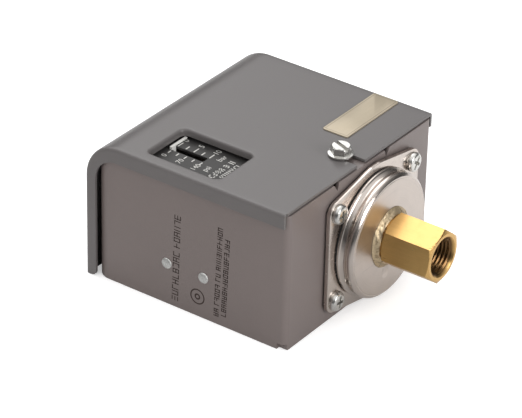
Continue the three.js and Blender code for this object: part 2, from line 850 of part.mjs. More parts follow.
// ---------------------------------------------------------------- range column

function rangeScrew() {
  const underHead = topWallX - slip;
  const tip = nutX + nutT + rangeTravel + 5;
  const shaft = rod("x", [underHead - seat, tip], [rangeY, rangeZ], rangeScrewR);
  const head = rod("x", [underHead - rangeHeadT, underHead], [rangeY, rangeZ], rangeHeadR);
  const headEnd = underHead - rangeHeadT;
  const slot = block([headEnd - reach, headEnd + 2.2], [rangeY - 0.7, rangeY + 0.7], [rangeZ - 8, rangeZ + 8]);
  return shaft.add(head).subtract(slot);
}

const rangeClip = () => {
  const from = topWallX + sheetT + slip;
  return clip("x", [from, from + 0.8], [rangeY, rangeZ], rangeScrewR + 0.15, 5.6);
};

// The nut and spring cup in one: the screw draws it along, and it carries the pointer.
function rangeNut() {
  const floor = nutX + nutT;
  const cup = turned(
    [
      [rangeScrewR + slip, nutX],
      [cupR - 1, nutX],
      [cupR, nutX + 1],
      [cupR, floor + cupLength],
      [cupR - cupT, floor + cupLength],
      [cupR - cupT, floor],
      [rangeScrewR + slip, floor],
      [rangeScrewR + slip, nutX],
    ],
    "x",
    [rangeY, rangeZ],
  );
  const lug = block([nutX, floor], [rangeY - 3.5, rangeY + 3.5], [rangeZ + cupR - 2, rangeZ + cupR + 1.5]);
  return cup.add(lug);
}

// A strip that stands on the nut, passes the scale's slot and turns over the scale.
function pointer() {
  const x = [pointerStart - pointerBar / 2, pointerStart + pointerBar / 2];
  const top = scaleZ + slip + 0.6;
  const stemFoot = rangeZ + cupR + 1.5 + seat;
  const stem = block(x, [rangeY - pointerStem / 2, rangeY + pointerStem / 2], [stemFoot, top]);
  const bar = block(x, [rangeY - pointerStem / 2, rangeY + 7.5], [top - 0.6, top]);
  return stem.add(bar);
}

function rangeSpring() {
  const from = nutX + nutT + slip;
  return spring([from, springSeatX - 1.4 - slip], [rangeY, rangeZ], rangeSpringR, rangeWireR, rangeTurns);
}

// ---------------------------------------------------------------- differential column

function diffBracket() {
  const x = [diffPlateX, diffPlateX + sheetT];
  const y = [diffY - 6.2, diffY + 6.2];
  const upright = block(x, y, [sheetT + seat, rangeZ + 8]);
  const foot = block([diffPlateX, diffPlateX + 12], y, [sheetT + seat, 2 * sheetT + seat]);
  return upright.add(foot).subtract(rod("x", [x[0] - reach, x[1] + reach], [diffY, rangeZ], hubR + slip));
}

// A knurled thumbwheel on a threaded hub that turns in the bracket.
function diffWheel() {
  const face = diffPlateX - slip;
  const shape = new THREE.Shape();
  const teeth = 20;
  for (let k = 0; k < 2 * teeth; k += 1) {
    const r = k % 2 ? wheelR : wheelR - 0.5;
    const angle = (Math.PI * k) / teeth;
    const point = [diffY + r * Math.cos(angle), rangeZ + r * Math.sin(angle)];
    if (k === 0) shape.moveTo(...point);
    else shape.lineTo(...point);
  }
  const wheel = extruded(shape, "x", [face - wheelT, face]);
  const hub = rod("x", [face - seat, diffPlateX + sheetT + hubLength], [diffY, rangeZ], hubR);
  const end = face - wheelT;
  const slot = block([end - reach, end + 1.2], [diffY - 0.6, diffY + 0.6], [rangeZ - 4, rangeZ + 4]);
  return wheel.add(hub).subtract(slot);
}

const diffSeatX = diffPlateX + sheetT + ringGap;
const diffSeat = () => ring("x", [diffSeatX, diffSeatX + ringT], [diffY, rangeZ], hubR + slip, ringR);
const diffSpring = () => {
  const ends = [diffSeatX + ringT + slip, leverX - slip];
  return spring(ends, [diffY, rangeZ], diffSpringR, diffWireR, diffTurns);
};

// ---------------------------------------------------------------- switch

// A stool of bent sheet that lifts the switch to the lever's height.
function switchBracket() {
  const x = [switchX - switchHalfX, switchX + switchHalfX];
  const top = switchFloor - seat;
  const floor = sheetT + seat;
  const shelf = block(x, [switchY - switchHalfY, switchY + switchHalfY], [top - sheetT, top]);
  const leg = (y) => block(x, [y, y + sheetT], [floor, top]);
  const foot = (y) => block(x, [y, y + 5], [floor, floor + sheetT]);
  const near = switchY - switchHalfY;
  const far = switchY + switchHalfY;
  const whole = joined([shelf, leg(near), leg(far - sheetT), foot(near), foot(far - 5)]);
  const through = [top - sheetT - reach, top + reach];
  return cut(whole, switchScrews.map((at) => rod("z", through, at, 1.4 + slip)));
}

function switchBody([low, high]) {
  const outline = roundedRect(
    [switchX - switchHalfX, switchX + switchHalfX],
    [switchY - switchHalfY, switchY + switchHalfY],
    1.5,
  );
  const screws = switchScrews.map((at) => rod("z", [low - reach, high + reach], at, 1.4 + slip));
  return cut(extruded(outline, "z", [low, high]), screws);
}

// The lower half: a tray with a bearing for the plunger at each end.
function switchBase() {
  const pocketX = [switchX - 4, switchEndX - switchWall];
  const pocketY = [switchY - 12, switchY + 12];
  const pocket = block(pocketX, pocketY, [switchFloor + 1.6, switchSplit + reach]);
  const guide = rod("x", [switchX - 4 - 4, switchEndX + reach], [switchY, plungerZ], plungerR + slip);
  return cut(switchBody([switchFloor, switchSplit]), [pocket, guide]);
}

// The upper half: it carries the two terminals, with a barrier between and beside them.
function switchLid() {
  const whole = switchBody([switchSplit + seat, switchTop]);
  const barriers = [-switchHalfY + 0.6, 0, switchHalfY - 0.6].map((y) =>
    block([switchX - 1, switchEndX], [switchY + y - 0.6, switchY + y + 0.6], [switchTop - seat, switchTop + 4]),
  );
  const stripX = [switchX - 0.4 - slip, switchX - 0.4 + stripT + slip];
  const slots = contacts.flatMap((y) => [
    block(stripX, [y - stripHalf - slip, y + stripHalf + slip], [switchSplit - reach, switchTop + reach]),
    rod("z", [switchSplit - reach, switchTop + reach], [terminalX, y], terminalScrewR + slip),
  ]);
  return cut(joined([whole, ...barriers]), slots);
}

function switchScrew(at) {
  return slottedScrew({
    axis: "z",
    at,
    seatAt: switchTop + seat,
    headR: 2.6,
    headT: 1.6,
    shankR: 1.4,
    shankLength: switchTop - switchFloor + sheetT + 2,
  });
}

// A strip from the contact point in the tray up to the terminal on top.
function fixedContact(y) {
  const x0 = switchX - 0.4;
  const width = [y - stripHalf, y + stripHalf];
  const upright = block([x0, x0 + stripT], width, [plungerZ - 2, switchTop + seat + 0.8]);
  const tab = block([x0, terminalX + 2.6], width, [switchTop + seat, switchTop + seat + 0.8]);
  const hole = rod("z", [switchTop - reach, switchTop + 3], [terminalX, y], terminalScrewR + slip);
  return upright.add(tab).subtract(hole);
}

// A saddle that clamps the wire under the terminal screw.
function terminalClamp(y) {
  const base = switchTop + 2 * seat + 0.8;
  const outline = roundedRect([terminalX - 2.6, terminalX + 2.6], [y - 3.2, y + 3.2], 0.5);
  const hole = rod("z", [base - reach, base + 4], [terminalX, y], terminalScrewR + slip);
  return extruded(outline, "z", [base, base + 1]).subtract(hole);
}

function terminalScrew(y) {
  return slottedScrew({
    axis: "z",
    at: [terminalX, y],
    seatAt: switchTop + 3 * seat + 1.8,
    headR: 2.7,
    headT: 1.8,
    shankR: terminalScrewR,
    shankLength: 7,
  });
}

// The plunger, and the bar that bridges the two fixed contacts while it is out.
const bridgeX = switchX - 0.4 - slip - stripT;
function switchPlunger() {
  const nose = switchEndX + plungerOut;
  const tail = switchX - 4 - 2.5;
  const shaft = turned(
    [[0, tail], [plungerR, tail], [plungerR, nose - 1.2], [plungerR - 1, nose - 0.2], [0, nose]],
    "x",
    [switchY, plungerZ],
  );
  const collar = rod("x", [bridgeX + stripT + seat, bridgeX + stripT + 2], [switchY, plungerZ], plungerR + 1);
  return shaft.add(collar);
}

function contactBridge() {
  const barY = [switchY - contactY - 2, switchY + contactY + 2];
  const bar = block([bridgeX, bridgeX + stripT], barY, [plungerZ - 1.8, plungerZ + 3.2]);
  const hole = rod("x", [bridgeX - reach, bridgeX + stripT + reach], [switchY, plungerZ], plungerR + 0.1);
  return bar.subtract(hole);
}

function groundScrew() {
  const under = sheetT + seat;
  const head = extruded(hexagon(groundAt, 7.9, 0), "z", [under, under + 3]);
  const shank = rod("z", [seat, under + seat], groundAt, 1.9);
  const [x, y] = groundAt;
  const slot = block([x - 6, x + 6], [y - 0.6, y + 0.6], [under + 1.8, under + 4]);
  return head.add(shank).subtract(slot);
}

// ---------------------------------------------------------------- assembly

const pressureSwitch = new THREE.Group();
pressureSwitch.name = "pressure_switch";

function add(name, made, material) {
  const mesh = new THREE.Mesh(geometryOf(made), material());
  mesh.name = name;
  pressureSwitch.add(mesh);
}

add("chassis", chassis(), greyPaint);
rivets.forEach((at, k) => add(`side_rivet_${k + 1}`, sideRivet(at), zinc));
add("spring_frame", springFrame(), zinc);
add("scale_plate", scalePlate(), darkPaint);
scaleScrews.forEach((at, k) => add(`scale_screw_${k + 1}`, scaleScrew(at), zinc));
add("cover", cover(), greyPaint);
add("nameplate", nameplate(), tanPlate);
add("cover_insulator", coverInsulator(), fibre);
add("cover_screw", coverScrew(), zinc);
add("flange_gasket", flangeGasket(), rubber);
add("flange_plate", flangePlate(), nickel);
add("diaphragm", diaphragm(), rubber);
add("pressure_cap", pressureCap(), nickel);
add("braze_ring", brazeRing(), braze);
add("pipe_fitting", pipeFitting(), brass);
flangeScrews.forEach((at, k) => add(`flange_screw_${k + 1}`, flangeScrew(at), zinc));
add("follower_disc", followerDisc(), zinc);
add("push_rod", pushRod(), brass);
add("lever", lever(), zinc);
add("lever_bracket", leverBracket(), zinc);
add("pivot_pin", pivotPin(), springSteel);
add("pivot_clip", pivotClip(), springSteel);
add("trip_screw", tripScrew(), brass);
add("trip_locknut", tripLocknut(), zinc);
add("spring_seat", springSeat(), zinc);
add("range_screw", rangeScrew(), zinc);
add("range_clip", rangeClip(), springSteel);
add("range_nut", rangeNut(), zinc);
add("pointer", pointer(), whitePaint);
add("range_spring", rangeSpring(), springSteel);
add("diff_bracket", diffBracket(), zinc);
add("diff_wheel", diffWheel(), whitePlastic);
add("diff_seat", diffSeat(), zinc);
add("diff_spring", diffSpring(), springSteel);
add("switch_bracket", switchBracket(), zinc);
add("switch_base", switchBase(), blackPlastic);
add("switch_lid", switchLid(), blackPlastic);
switchScrews.forEach((at, k) => add(`switch_screw_${k + 1}`, switchScrew(at), zinc));
contacts.forEach((y, k) => {
  add(`fixed_contact_${k + 1}`, fixedContact(y), brass);
  add(`terminal_clamp_${k + 1}`, terminalClamp(y), zinc);
  add(`terminal_screw_${k + 1}`, terminalScrew(y), brass);
});
add("switch_plunger", switchPlunger(), whitePlastic);
add("contact_bridge", contactBridge(), brass);
add("ground_screw", groundScrew(), greenZinc);

export default pressureSwitch;
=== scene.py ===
"""Pressure switch in a bent steel case: every piece of it, its finishes, and the table it lies on.

Sizes are in millimetres and places are in the part's own frame, read from the frame's boxes.
"""

import json
import math

import bmesh
import bpy
import numpy as np
from bpy.props import FloatProperty, FloatVectorProperty, PointerProperty
from mathutils import Matrix, Vector


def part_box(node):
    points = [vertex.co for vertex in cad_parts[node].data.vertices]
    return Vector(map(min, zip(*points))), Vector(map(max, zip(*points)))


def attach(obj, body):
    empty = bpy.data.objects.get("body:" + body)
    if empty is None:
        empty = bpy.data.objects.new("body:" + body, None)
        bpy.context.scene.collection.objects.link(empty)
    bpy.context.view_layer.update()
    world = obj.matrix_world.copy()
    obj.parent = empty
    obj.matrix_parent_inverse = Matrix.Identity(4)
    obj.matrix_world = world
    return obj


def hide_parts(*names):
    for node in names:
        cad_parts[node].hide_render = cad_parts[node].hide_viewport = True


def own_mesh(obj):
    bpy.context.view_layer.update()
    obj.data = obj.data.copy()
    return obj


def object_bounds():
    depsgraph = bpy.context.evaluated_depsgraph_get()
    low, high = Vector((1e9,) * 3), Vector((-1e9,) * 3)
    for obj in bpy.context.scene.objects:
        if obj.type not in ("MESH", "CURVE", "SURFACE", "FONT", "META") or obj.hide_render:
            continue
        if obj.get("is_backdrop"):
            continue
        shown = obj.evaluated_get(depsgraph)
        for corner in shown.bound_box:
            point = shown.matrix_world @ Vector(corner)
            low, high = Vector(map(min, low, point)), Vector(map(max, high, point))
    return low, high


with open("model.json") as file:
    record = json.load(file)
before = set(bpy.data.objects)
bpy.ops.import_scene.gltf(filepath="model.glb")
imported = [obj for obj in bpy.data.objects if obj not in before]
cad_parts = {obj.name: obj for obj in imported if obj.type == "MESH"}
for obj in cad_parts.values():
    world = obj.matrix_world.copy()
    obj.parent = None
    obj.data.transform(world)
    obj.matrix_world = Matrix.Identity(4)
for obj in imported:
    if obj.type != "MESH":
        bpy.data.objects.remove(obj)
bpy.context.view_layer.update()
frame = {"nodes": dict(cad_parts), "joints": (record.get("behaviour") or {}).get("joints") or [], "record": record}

bl_info = {
    "name": "Pressure Switch",
    "version": (1, 0, 0),
    "blender": (4, 5, 0),
    "location": "3D View > Sidebar > Pressure Switch",
    "description": "Builds a sheet-metal pressure switch piece by piece, with its finishes and its stage",
    "category": "Object",
}

MM = 0.001
UP, FAR, RIGHT = "z", "y", "x"  # the axes that a turned piece can stand on
RECORD = frame["record"]
BODY_OF = {node: body for body, nodes in RECORD["behaviour"]["bodies"].items() for node in nodes}
SLOT_OF = {part["node"]: part["material_slot"] for part in RECORD["subparts"]}


def box(node):
    """Lowest and highest corner of a node at rest, in millimetres."""
    low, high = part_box(node)
    return np.array(low) / MM, np.array(high) / MM


def middle(node):
    """Centre of a node's box, in millimetres."""
    low, high = box(node)
    return (low + high) / 2


# ---------------------------------------------------------------- sizes and colours


class SwitchSizes(bpy.types.PropertyGroup):
    """Sizes that the solid model leaves to the finished surface."""

    lip_bend: FloatProperty(
        name="Lip bend",
        description="Outer radius between the cover's front and its side lips",
        default=1.3 * MM,
        unit="LENGTH",
    )
    sheet_edge: FloatProperty(
        name="Sheet edge",
        description="Width of the worn round on a sheared sheet edge",
        default=0.16 * MM,
        unit="LENGTH",
    )
    window_round: FloatProperty(
        name="Window round",
        description="Radius of the cover's turned-in window rim",
        default=1.1 * MM,
        unit="LENGTH",
    )
    thread_pitch: FloatProperty(
        name="Port thread pitch",
        description="Pitch of the pipe thread in the port",
        default=1.41 * MM,
        unit="LENGTH",
    )
    braze_lumps: FloatProperty(
        name="Braze lumps",
        description="Height of the unevenness in the ring of braze",
        default=0.22 * MM,
        unit="LENGTH",
    )


def colour(name, description, default):
    """A colour property in linear light."""
    return FloatVectorProperty(
        name=name, description=description, default=default, subtype="COLOR", min=0, max=1
    )


class SwitchColours(bpy.types.PropertyGroup):
    """Base colours of the finishes."""

    enamel: colour("Cover enamel", "Grey enamel on the cover", (0.128, 0.118, 0.116))
    case_enamel: colour("Case enamel", "Grey enamel on the chassis", (0.168, 0.138, 0.130))
    # Painted shade: a dark colour on the cover's inner side stands for the shade inside it, not for a separate
    # paint.
    inside_enamel: colour("Inside enamel", "Thin dark enamel inside the cover", (0.05, 0.046, 0.044))
    scale_black: colour("Scale black", "Baked paint on the scale plate", (0.036, 0.034, 0.033))
    nameplate: colour("Nameplate", "Blank foil of the nameplate", (0.45, 0.385, 0.285))
    nickel: colour("Nickel", "Dull plating on the ear plate and the cap", (0.68, 0.61, 0.56))
    zinc: colour("Zinc", "Bright plating on screws and brackets", (0.74, 0.73, 0.70))
    steel: colour("Spring steel", "Oiled wire of the springs", (0.33, 0.32, 0.31))
    rivet: colour("Rivets", "Bright zinc of the rivets", (0.95, 0.95, 0.93))
    brass: colour("Brass", "Turned brass of the fitting", (0.70, 0.44, 0.165))
    braze: colour("Braze", "Ring of braze round the fitting", (0.62, 0.50, 0.33))
    ink: colour("Stamping ink", "Brown ink on the case's side", (0.035, 0.02, 0.016))
    phenolic: colour("Phenolic", "Moulded base of the snap switch", (0.022, 0.017, 0.014))
    nylon: colour("Nylon", "Moulded plunger", (0.70, 0.69, 0.64))
    fibre: colour("Fibre", "Grey insulating sheet", (0.20, 0.18, 0.16))
    rubber: colour("Rubber", "Gasket and diaphragm", (0.02, 0.02, 0.021))
    ground: colour("Ground green", "Green plating of the ground screw", (0.05, 0.30, 0.09))


# ---------------------------------------------------------------- surfaces


def grid(points, wrap_u=False, wrap_v=False, keep=None):
    """Faces between neighbours of points[i, j]; wrap closes a direction and keep masks faces out."""
    ids = np.arange(points.shape[0] * points.shape[1]).reshape(points.shape[:2])
    if wrap_u:
        ids = np.vstack([ids, ids[:1]])
    if wrap_v:
        ids = np.hstack([ids, ids[:, :1]])
    corners = [ids[:-1, :-1], ids[1:, :-1], ids[1:, 1:], ids[:-1, 1:]]
    faces = np.stack(corners, axis=-1)
    faces = faces.reshape(-1, 4) if keep is None else faces[keep]
    return points.reshape(-1, 3), faces.tolist()


def place(axis, centre, u, v, height):
    """Points at (u, v) across an axis and height along it; centre is where the axis stands."""
    u, v, height = np.broadcast_arrays(u + centre[0], v + centre[1], height)
    order = {RIGHT: (height, u, v), UP: (u, v, height), FAR: (u, height, v)}[axis]
    return np.stack(order, axis=-1)


def lathe(profile, axis, centre, steps=96, shape=None):
    """(radius, height) pairs turned about an axis: radius * (cos a, sin a) across, height along.

    shape(radius, height, angle) may change the radius and the height of each point.
    """
    radius, height = np.array(profile, float).T
    angle = np.linspace(0, 2 * np.pi, steps, endpoint=False)
    radius, height, angle = np.broadcast_arrays(radius[:, None], height[:, None], angle[None, :])
    if shape is not None:
        radius, height = shape(radius, height, angle)
    across = place(axis, centre, radius * np.cos(angle), radius * np.sin(angle), height)
    return grid(across, wrap_v=True)


def rounded(points, radius, steps=5):
    """A polyline whose inner corners become arcs: quadratic curves cut in by radius at each."""
    points = np.array(points, float)
    share = np.linspace(0, 1, steps)[:, None]
    pieces = [points[:1]]
    for before, corner, after in zip(points[:-2], points[1:-1], points[2:]):
        back = before - corner
        ahead = after - corner
        cut_back = min(radius, 0.45 * np.linalg.norm(back)) / np.linalg.norm(back)
        cut_ahead = min(radius, 0.45 * np.linalg.norm(ahead)) / np.linalg.norm(ahead)
        start = corner + back * cut_back
        end = corner + ahead * cut_ahead
        arc = (1 - share) ** 2 * start + 2 * share * (1 - share) * corner + share**2 * end
        pieces.append(arc)
    pieces.append(points[-1:])
    return np.vstack(pieces)


def densified(points, step):
    """A polyline with points added so that no stretch is longer than step."""
    pieces = []
    for start, end in zip(points[:-1], points[1:]):
        count = max(1, math.ceil(np.linalg.norm(end - start) / step))
        pieces.append(start + (end - start) * np.arange(count)[:, None] / count)
    return np.vstack(pieces + [points[-1:]])


def stations(*stretches):
    """Rising values through (start, end, step) stretches, with each end kept."""
    values = [np.linspace(a, b, max(2, math.ceil((b - a) / step) + 1)) for a, b, step in stretches]
    return np.unique(np.round(np.concatenate(values), 5))


def eased(value, start, end):
    """0 before start and 1 after end, with a smooth rise between them."""
    t = np.clip((value - start) / (end - start), 0, 1)
    return t * t * (3 - 2 * t)


def ripple(a, b, seed=0.0):
    """Uneven heights from -1 to 1 over two coordinates: a sum of sines of unrelated lengths."""
    waves = [(1.0, 1.7, 0.3), (2.3, -1.1, 1.9), (-1.6, 3.1, 4.2), (4.7, 2.9, 2.6), (3.7, -5.3, 0.8)]
    total = sum(np.sin(p * a + q * b + r + seed) / (1 + 0.35 * i) for i, (p, q, r) in enumerate(waves))
    return total / 3.2


def star_outline(inside_distance, steps, reach):
    """Radius to the edge of a star-shaped outline in each direction, halving the gap each time."""
    angle = np.linspace(0, 2 * np.pi, steps, endpoint=False)
    low = np.zeros(steps)
    high = np.full(steps, reach)
    for _ in range(40):
        half = (low + high) / 2
        inside = inside_distance(half * np.cos(angle), half * np.sin(angle)) < 0
        low = np.where(inside, half, low)
        high = np.where(inside, high, half)
    return angle, low


def box_distance(u, v, half_u, half_v, corner=0.0):
    """Signed distance to a rectangle with round corners, below zero inside it."""
    past_u = np.abs(u) - half_u + corner
    past_v = np.abs(v) - half_v + corner
    outside = np.hypot(np.maximum(past_u, 0), np.maximum(past_v, 0))
    return outside + np.minimum(np.maximum(past_u, past_v), 0) - corner


def hole_rings(loop, spine_low, spine_high, levels, lay):
    """Rings from a loop in a flat sheet down into a hole.

    The hole is all points within a radius of a rectangular spine. Each loop point's nearest spine
    point gives its direction, and each level is (distance from the spine, drop below the sheet).
    """
    near = np.clip(loop, spine_low, spine_high)
    away = loop - near
    away = away / np.linalg.norm(away, axis=1)[:, None]
    rings = [lay(loop, 0.0)] + [lay(near + away * radius, drop) for radius, drop in levels]
    return np.stack(rings)


def rectangle_loop(a, b):
    """Points round the rectangle that two rows of stations make."""
    sides = [
        np.stack([a[:-1], np.full(len(a) - 1, b[0])], axis=-1),
        np.stack([np.full(len(b) - 1, a[-1]), b[:-1]], axis=-1),
        np.stack([a[:0:-1], np.full(len(a) - 1, b[-1])], axis=-1),
        np.stack([np.full(len(b) - 1, a[0]), b[:0:-1]], axis=-1),
    ]
    return np.vstack(sides)


def plate(angle, outline, thickness_levels, axis, centre):
    """A slab with any outline: rings at (inset, height), closed at both ends by one flat face."""
    inset, height = np.array(thickness_levels, float).T
    radius = outline[None, :] - inset[:, None]
    rings = place(axis, centre, radius * np.cos(angle), radius * np.sin(angle), height[:, None])
    points, faces = grid(rings, wrap_v=True)
    count = len(angle)
    ends = [list(range(count))[::-1], list(range(len(points) - count, len(points)))]
    return points, faces + ends


def driven_head(axis, centre, flat, profile, recess, outline=None, count=48):
    """A screw, as a square net drawn over its head and down its shank.

    Inside 0.6 of the net, the square goes onto the disc of radius flat by the elliptical mapping;
    outside it, rings follow the (radius, height) profile. recess(u, v) sinks the top, and
    outline(angle) limits the radius, as on a hexagon. One flat face closes the tip.
    """
    top_share = 0.6
    line = np.linspace(-1, 1, 2 * count + 1)
    u, v = np.meshgrid(line, line, indexing="ij")
    share = np.maximum(np.abs(u), np.abs(v))
    scale = np.maximum(share, top_share)
    a, b = u / scale, v / scale
    across_u = a * np.sqrt(1 - b * b / 2)
    across_v = b * np.sqrt(1 - a * a / 2)
    profile = np.array(profile, float)
    along = np.linspace(top_share, 1, len(profile))
    radius = np.where(share <= top_share, flat, np.interp(share, along, profile[:, 0]))
    height = np.interp(share, along, profile[:, 1])
    if outline is not None:
        radius = np.minimum(radius, outline(np.arctan2(across_v, across_u)))
    across_u = across_u * radius
    across_v = across_v * radius
    rise = np.sign(profile[0, 1] - profile[-1, 1])
    height = height - rise * recess(across_u, across_v) * (share <= top_share)
    points, faces = grid(place(axis, centre, across_u, across_v, height))
    ids = np.arange(len(points)).reshape(u.shape)
    rim = np.concatenate([ids[:-1, 0], ids[-1, :-1], ids[:0:-1, -1], ids[0, :0:-1]])
    return points, faces + [rim.tolist()]


def slot_recess(half_width, half_length, depth, turn=0.0):
    """How far a straight screwdriver slot sinks each point of a head."""

    def recess(u, v):
        along = u * math.cos(turn) + v * math.sin(turn)
        across = v * math.cos(turn) - u * math.sin(turn)
        wide = 1 - eased(np.abs(across), half_width - 0.05, half_width + 0.05)
        long = 1 - eased(np.abs(along), half_length - 0.05, half_length + 0.05)
        return depth * wide * long

    return recess


def cross_recess(half_width, half_length, depth, slot_width, slot_length, turn):
    """A cross recess with a straight slot through one of its arms."""
    arms = [
        slot_recess(half_width, half_length, depth, turn),
        slot_recess(half_width, half_length, depth, turn + math.pi / 2),
        slot_recess(slot_width, slot_length, depth * 0.6, turn),
    ]
    return lambda u, v: np.maximum.reduce([arm(u, v) for arm in arms])


def hexagon_limit(flats, turn=0.0):
    """Radius of a hexagon across flats at each angle."""
    return lambda angle: flats / 2 / np.cos((angle - turn) % (np.pi / 3) - np.pi / 6)


def coil(axis_line, ends, mean, wire, turns, sides=12, steps=40):
    """A wire tube along a helix whose first and last turn lie flat, with closed ends."""
    t = np.linspace(0, 1, int(turns * steps) + 1)
    angle = 2 * np.pi * turns * t
    rest = 0.75 / turns
    ramp = np.clip((t - rest) / (1 - 2 * rest), 0, 1)
    travel = ends[1] - ends[0] - 2 * wire
    flat_rise = 2.1 * wire * np.clip(t / rest, 0, 1) + 2.1 * wire * np.clip((t - 1 + rest) / rest, 0, 1)
    x = ends[0] + wire + flat_rise + (travel - 4.2 * wire) * ramp
    centre = place(RIGHT, axis_line, mean * np.cos(angle), mean * np.sin(angle), x)
    out = place(RIGHT, (0, 0), np.cos(angle), np.sin(angle), np.zeros_like(angle))
    tangent = np.gradient(centre, axis=0)
    tangent = tangent / np.linalg.norm(tangent, axis=1)[:, None]
    side = np.cross(tangent, out)
    turn = np.linspace(0, 2 * np.pi, sides, endpoint=False)[None, :, None]
    tube = centre[:, None] + wire * (np.cos(turn) * out[:, None] + np.sin(turn) * side[:, None])
    points, faces = grid(tube, wrap_v=True)
    last = len(points)
    return points, faces + [list(range(sides))[::-1], list(range(last - sides, last))]


def block(low, high):
    """A plain box from its lowest to its highest corner."""
    x, y, z = np.stack([low, high], axis=-1)
    square = np.array([(0, 0), (1, 0), (1, 1), (0, 1)])
    points = np.array([(x[i], y[j], z[k]) for k in (0, 1) for i, j in square])
    sides = [[i, (i + 1) % 4, (i + 1) % 4 + 4, i + 4] for i in range(4)]
    return points, sides + [[3, 2, 1, 0], [4, 5, 6, 7]]


# ---------------------------------------------------------------- pieces


def finished(mesh, angle=35):
    """Merges doubles, points every face outwards, and shades round stretches smooth."""
    work = bmesh.new()
    work.from_mesh(mesh)
    bmesh.ops.remove_doubles(work, verts=work.verts, dist=0.0005 * MM)
    bmesh.ops.recalc_face_normals(work, faces=work.faces)
    top = max(work.faces, key=lambda face: face.calc_center_median().z)
    if top.normal.z < -0.5:
        bmesh.ops.reverse_faces(work, faces=work.faces)
    work.to_mesh(mesh)
    work.free()
    mesh.shade_smooth()
    mesh.set_sharp_from_angle(angle=math.radians(angle))


def shown(name, mesh, material, body, nodes, slot):
    """Puts a mesh in the scene as a piece that rides on a body and stands for its nodes."""
    if not mesh.polygons:
        raise RuntimeError(f"{name} has no faces")
    obj = bpy.data.objects.new(name, mesh)
    bpy.context.scene.collection.objects.link(obj)
    mesh.materials.clear()
    mesh.materials.append(material)
    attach(obj, body)
    if nodes:
        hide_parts(*nodes)
    return obj


def piece(name, shells, material, node=None, body=None, slot=None, angle=35):
    """A new piece from shells of (points, faces); node is the one it replaces."""
    points = []
    faces = []
    start = 0
    for shell_points, shell_faces in shells:
        points.append(shell_points)
        faces.extend([[index + start for index in face] for face in shell_faces])
        start += len(shell_points)
    mesh = bpy.data.meshes.new(name)
    mesh.from_pydata((np.vstack(points) * MM).tolist(), [], faces)
    finished(mesh, angle)
    nodes = [node] if node else []
    return shown(name, mesh, material, body or BODY_OF[node], nodes, slot or SLOT_OF[node])


def soften(obj, width, segments=2, angle=40):
    """Rounds the sharp edges of a piece."""
    bevel = obj.modifiers.new("edges", "BEVEL")
    bevel.width = width * MM
    bevel.segments = segments
    bevel.limit_method = "ANGLE"
    bevel.angle_limit = math.radians(angle)
    bevel.harden_normals = True


def thicken(obj, thickness, inner_shade_material):
    """Gives a sheet its thickness on its inner side, which takes a dark material that paints the shade there."""
    obj.data.materials.append(inner_shade_material)
    wall = obj.modifiers.new("sheet", "SOLIDIFY")
    # The inner shell takes the second material, a dark colour that paints the shade inside.
    wall.material_offset = 1
    wall.thickness = thickness * MM
    wall.offset = -1
    wall.use_even_offset = True


def refined(node, material, width=0.2):
    """A node's own solid, merged, its flat faces made whole and its edges rounded."""
    mesh = frame["nodes"][node].data.copy()
    mesh.name = node + "_refined"
    work = bmesh.new()
    work.from_mesh(mesh)
    bmesh.ops.remove_doubles(work, verts=work.verts, dist=0.002 * MM)
    flat = math.radians(0.8)
    bmesh.ops.dissolve_limit(work, angle_limit=flat, verts=work.verts, edges=work.edges)
    work.to_mesh(mesh)
    work.free()
    mesh.shade_smooth()
    mesh.set_sharp_from_angle(angle=math.radians(32))
    obj = shown(node + "_refined", mesh, material, BODY_OF[node], [node], SLOT_OF[node])
    soften(obj, width)
    return obj


# ---------------------------------------------------------------- shader words


class Term:
    """A number-valued socket that adds its own Math nodes when it is used in an expression."""

    def __init__(self, finish, socket):
        self.finish = finish
        self.socket = socket

    def math(self, operation, *others, clamp=False):
        """One Math node on this term and the others."""
        values = {i: v for i, v in enumerate((self,) + others)}
        settings = {"operation": operation, "use_clamp": clamp}
        return self.finish.node("ShaderNodeMath", settings, values)[0]

    def __add__(self, other):
        return self.math("ADD", other)

    def __radd__(self, other):
        return self.math("ADD", other)

    def __sub__(self, other):
        return self.math("SUBTRACT", other)

    def __rsub__(self, other):
        return Term.math(self, "MULTIPLY", -1.0).math("ADD", other)

    def __mul__(self, other):
        return self.math("MULTIPLY", other)

    def __truediv__(self, other):
        return self.math("DIVIDE", other)

    def __abs__(self):
        return self.math("ABSOLUTE")

    def between(self, low, high):
        """0 below low and 1 above high."""
        return ((self - low) / (high - low)).math("ADD", 0.0, clamp=True)


class Nodes:
    """A node tree that its nodes are added to by one method."""

    def __init__(self, tree):
        self.tree = tree

    def node(self, kind, settings=None, values=None):
        """Adds a node: settings first, then socket values or links. Returns its outputs as terms."""
        made = self.tree.nodes.new(kind)
        for key, value in (settings or {}).items():
            if key == "stops":
                self.set_stops(made.color_ramp, value)
            else:
                setattr(made, key, value)
        for key, value in (values or {}).items():
            self.feed(made.inputs[key], value)
        outputs = [socket for socket in made.outputs if socket.enabled]
        return [Term(self, socket) for socket in outputs]

    def set_stops(self, ramp, stops):
        """Places a colour ramp's stops."""
        while len(ramp.elements) < len(stops):
            ramp.elements.new(0.5)
        for element, (position, shade) in zip(ramp.elements, stops):
            element.position = position
            element.color = (*shade, 1.0)

    def feed(self, socket, value):
        """Links a term or sets a plain value."""
        if isinstance(value, Term):
            self.tree.links.new(value.socket, socket)
        elif isinstance(value, bpy.types.NodeSocket):
            self.tree.links.new(value, socket)
        else:
            socket.default_value = value


